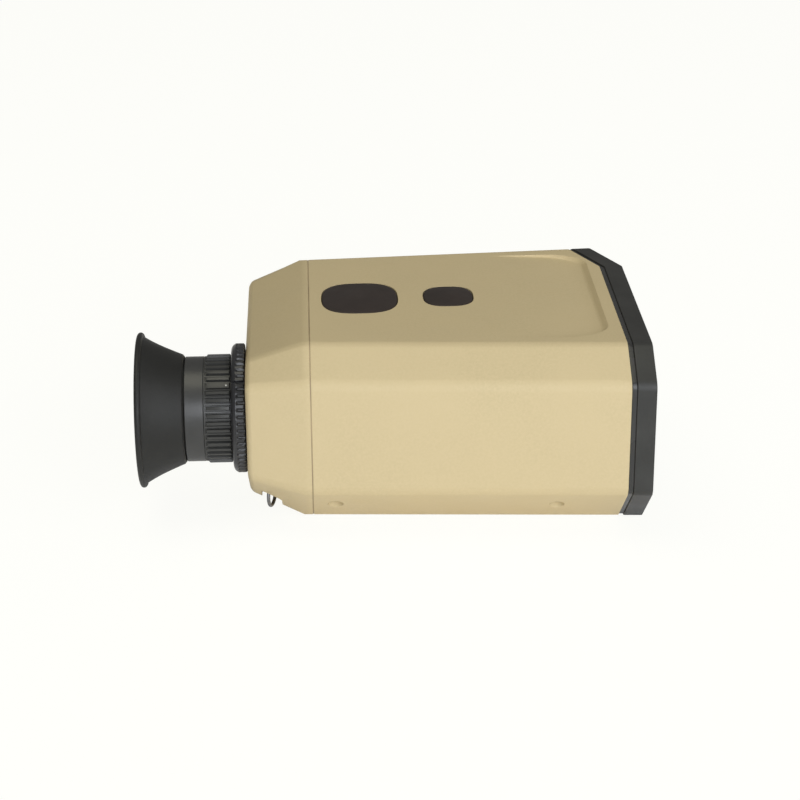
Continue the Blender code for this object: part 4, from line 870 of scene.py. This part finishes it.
def machined(name, colour, roughness, scale):
    """Bright machined metal with fine tool marks and faint oxidised patches."""
    material, tree, shader, place = plain_finish(name, colour, roughness, 1.0)
    stain = spread(tree, grain(tree, place, 150, 4), 0.35, 0.70, 0.0, 1.0)
    darker = tuple(part * 0.88 for part in colour)
    tree.links.new(blend_colours(tree, stain, colour, darker), shader.inputs["Base Color"])
    marks = spread(tree, grain(tree, place, scale, 3), 0.30, 0.70, roughness - 0.08, roughness + 0.10)
    tree.links.new(marks, shader.inputs["Roughness"])
    relief(tree, shader, grain(tree, place, scale, 2), 0.000008, 0.5)
    return material


def hex_ring(bm, place, radius, depth):
    """Forty-eight points round a hexagon, so that it bridges to a circle of as many."""
    points = []
    for i in range(48):
        angle = 2 * math.pi * i / 48
        side = (angle + math.pi / 6) % (math.pi / 3) - math.pi / 6
        size = radius * math.cos(math.pi / 6) / math.cos(side)
        points.append(place @ Vector((size * math.cos(angle), size * math.sin(angle), -depth)))
    return ring_of(bm, points)


screw_steel = machined("screw_steel", (0.42, 0.42, 0.43), 0.30, 1800)
outward = {"case": ("Z", -1), "rear": ("X", -1), "bezel": ("X", 1)}
for node in case_screws + ("rear_screw_near", "rear_screw_far", "bezel_screw_near", "bezel_screw_far"):
    axis, way = outward[node.split("_")[0]]
    low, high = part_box(node)
    centre = [(a + b) / 2 for a, b in zip(low, high)]
    k = "XYZ".index(axis)
    centre[k] = high[k] if way > 0 else low[k]
    length = high[k] - low[k]
    direction = Vector([way if i == k else 0 for i in range(3)])
    place = Matrix.Translation(centre) @ direction.to_track_quat("Z", "Y").to_matrix().to_4x4()
    bm = bmesh.new()
    rings = [hex_ring(bm, place, socket, 0.0011), hex_ring(bm, place, socket + 0.00005, 0.0001),
             hex_ring(bm, place, socket + 0.00015, 0), round_ring(bm, place, head_radius - 0.00025, 0),
             round_ring(bm, place, head_radius, 0.00025), round_ring(bm, place, head_radius, head_height),
             round_ring(bm, place, shank_radius, head_height), round_ring(bm, place, shank_radius, length - 0.0003),
             round_ring(bm, place, shank_radius - 0.0003, length)]
    skin(bm, rings)
    screw = new_piece(f"{node}_steel", bm, screw_steel)
    screw.data.shade_smooth()
    screw.data.set_sharp_from_angle(angle=math.radians(28))
    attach(screw, "housing")
    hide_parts(node)


# Battery cover and lock
# A turned black cover, flush with the rear face, with a fine bevel round it. The lock in its
# middle is a steel disc with a coin slot.

plug_low, plug_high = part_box("battery_plug")
knob_low, knob_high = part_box("battery_knob")
p0, p1, p2, soft = plug_low[0], plug_low[0] + 0.0036, plug_high[0], 0.0003
plug_radius, boss_radius, knob_radius, shaft_radius = 0.0096, 0.0075, 0.0060, 0.0018
profile = [(p2, boss_radius), (p1, boss_radius), (p1, plug_radius), (p0 + soft, plug_radius), (p0, plug_radius - soft),
           (p0, 0.0075), (p0 + 0.0002, 0.0074), (p0 + 0.0002, 0.0071), (p0, 0.0070),
           (p0, knob_radius + 0.0005), (p0 + 0.0002, knob_radius + 0.0003), (p0 + 0.0020, knob_radius + 0.0003),
           (p0 + 0.0020, shaft_radius + 0.0003), (p2, shaft_radius + 0.0003)]
cover_cap = turned_piece("battery_cover_cap", profile, bay_y, optic_z, anodised, 128, closed=True)
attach(cover_cap, "battery_cover")
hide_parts("battery_plug")

k0, k1, k2 = knob_low[0], knob_low[0] + 0.0014, knob_high[0]
profile = [(k0, 0), (k0, knob_radius - 0.0002), (k0 + 0.0002, knob_radius), (k1, knob_radius), (k1, shaft_radius),
           (k2, shaft_radius), (k2, 0)]
lock_disc = turned_piece("battery_lock_disc", profile, bay_y, optic_z, screw_steel, 96)
coin = bmesh.new()
bmesh.ops.create_cube(coin, size=1.0)
bmesh.ops.scale(coin, vec=(0.0018, 0.0011, 0.0090), verts=coin.verts)
bmesh.ops.translate(coin, vec=(k0, bay_y, optic_z), verts=coin.verts)
carve(lock_disc, coin)
soften(lock_disc, 0.00008, angle=40)
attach(lock_disc, "battery_lock")
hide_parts("battery_knob")


# Tripod insert
# A brass bush pressed into the base, tapped with a quarter-inch thread for a camera screw.

brass = machined("turned_brass", (0.66, 0.47, 0.20), 0.28, 1500)
insert_radius, thread_radius, thread_pitch, thread_depth = 0.0055, 0.003175, 0.00127, 0.0068
i0, i1 = insert_low[2], insert_high[2]
profile = [(i1, 0), (i1, insert_radius), (i0 + 0.0002, insert_radius), (i0, insert_radius - 0.0002),
           (i0, thread_radius + 0.0004)]
turns = int(thread_depth / thread_pitch)
for k in range(turns):
    z = i0 + 0.0004 + thread_pitch * k
    profile += [(z, thread_radius), (z + thread_pitch / 2, thread_radius + 0.00045)]
profile += [(i0 + thread_depth, thread_radius), (i0 + thread_depth, 0)]
bush_mesh = bmesh.new()
verts = [bush_mesh.verts.new((insert_at[0] + radius, 0, z)) for z, radius in profile]
edges = [bush_mesh.edges.new(pair) for pair in zip(verts, verts[1:])]
bmesh.ops.spin(bush_mesh, geom=verts + edges, cent=insert_at, axis=(0, 0, 1), angle=2 * math.pi, steps=72,
               use_merge=True)
bmesh.ops.remove_doubles(bush_mesh, verts=bush_mesh.verts, dist=1e-6)
bmesh.ops.recalc_face_normals(bush_mesh, faces=bush_mesh.faces)
bush = new_piece("tripod_bush", bush_mesh, brass)
bush.data.shade_smooth()
bush.data.set_sharp_from_angle(angle=math.radians(30))
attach(bush, "housing")
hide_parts("tripod_insert")


# Strap pins and rings
# A steel pin crosses each notch in the bottom rear corners, and a small plated wire ring
# hangs on it, ready for a wrist strap.

wire_finish = machined("plated_wire", (0.26, 0.26, 0.27), 0.34, 2500)
for side, name in ((-1, "near"), (1, "far")):
    low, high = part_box(f"strap_pin_{name}")
    y, z, radius, soft = (low[1] + high[1]) / 2, (low[2] + high[2]) / 2, (high[2] - low[2]) / 2, 0.0002
    profile = [(low[0], 0), (low[0], radius - soft), (low[0] + soft, radius), (high[0] - soft, radius),
               (high[0], radius - soft), (high[0], 0)]
    pin = turned_piece(f"strap_pin_{name}_steel", profile, y, z, screw_steel, 32)
    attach(pin, "housing")
    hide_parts(f"strap_pin_{name}")
    low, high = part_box(f"strap_ring_{name}")
    centre = [(a + b) / 2 for a, b in zip(low, high)]
    loop_radius, wire_radius, lean = 0.0032, 0.00045, math.radians(16)
    bm = bmesh.new()
    wire = bmesh.ops.create_circle(bm, segments=16, radius=wire_radius,
                                   matrix=Matrix.Translation((loop_radius, 0, 0)) @ Matrix.Rotation(math.pi / 2, 4, "X"))
    loop = wire["verts"] + list({edge for vert in wire["verts"] for edge in vert.link_edges})
    bmesh.ops.spin(bm, geom=loop, cent=(0, 0, 0), axis=(0, 0, 1), angle=2 * math.pi, steps=64, use_merge=True)
    bmesh.ops.remove_doubles(bm, verts=bm.verts, dist=1e-6)
    bmesh.ops.recalc_face_normals(bm, faces=bm.faces)
    turn = Matrix.Rotation(side * lean, 4, "Z") @ Matrix.Rotation(math.pi / 2, 4, "Y")
    bmesh.ops.transform(bm, matrix=Matrix.Translation(centre) @ turn, verts=bm.verts)
    loop_piece = new_piece(f"strap_loop_{name}", bm, wire_finish)
    loop_piece.data.shade_smooth()
    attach(loop_piece, f"{name}_strap_ring")
    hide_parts(f"strap_ring_{name}")


# Inner pieces
# The parts behind the windows and inside the shells keep their own shapes. They get the same
# finishes as the outside, with a bead-blasted chassis and solder-masked boards.

blasted = machined("blasted_alloy", (0.55, 0.55, 0.57), 0.45, 1400)
board_mask = black_satin("solder_mask", (0.015, 0.12, 0.055), 0.40, 700, 0.00002)
sleeve_blue = black_satin("cell_sleeve", (0.06, 0.10, 0.26), 0.34, 400, 0.00001)
inner_finishes = {
    "sand_paint": sand, "black_armour": bezel_moulding, "black_rubber": gasket_rubber, "brown_key": silicone,
    "black_metal": anodised, "steel": screw_steel, "brass": brass, "aluminium": blasted,
    "coated_glass": lens_glass, "board": board_mask, "black_part": anodised, "cell_wrap": sleeve_blue,
}
slot_of = {part["node"]: part["material_slot"] for part in frame["record"]["subparts"]}
for node, thing in frame["nodes"].items():
    thing.data.materials.clear()
    thing.data.materials.append(inner_finishes[slot_of[node]])
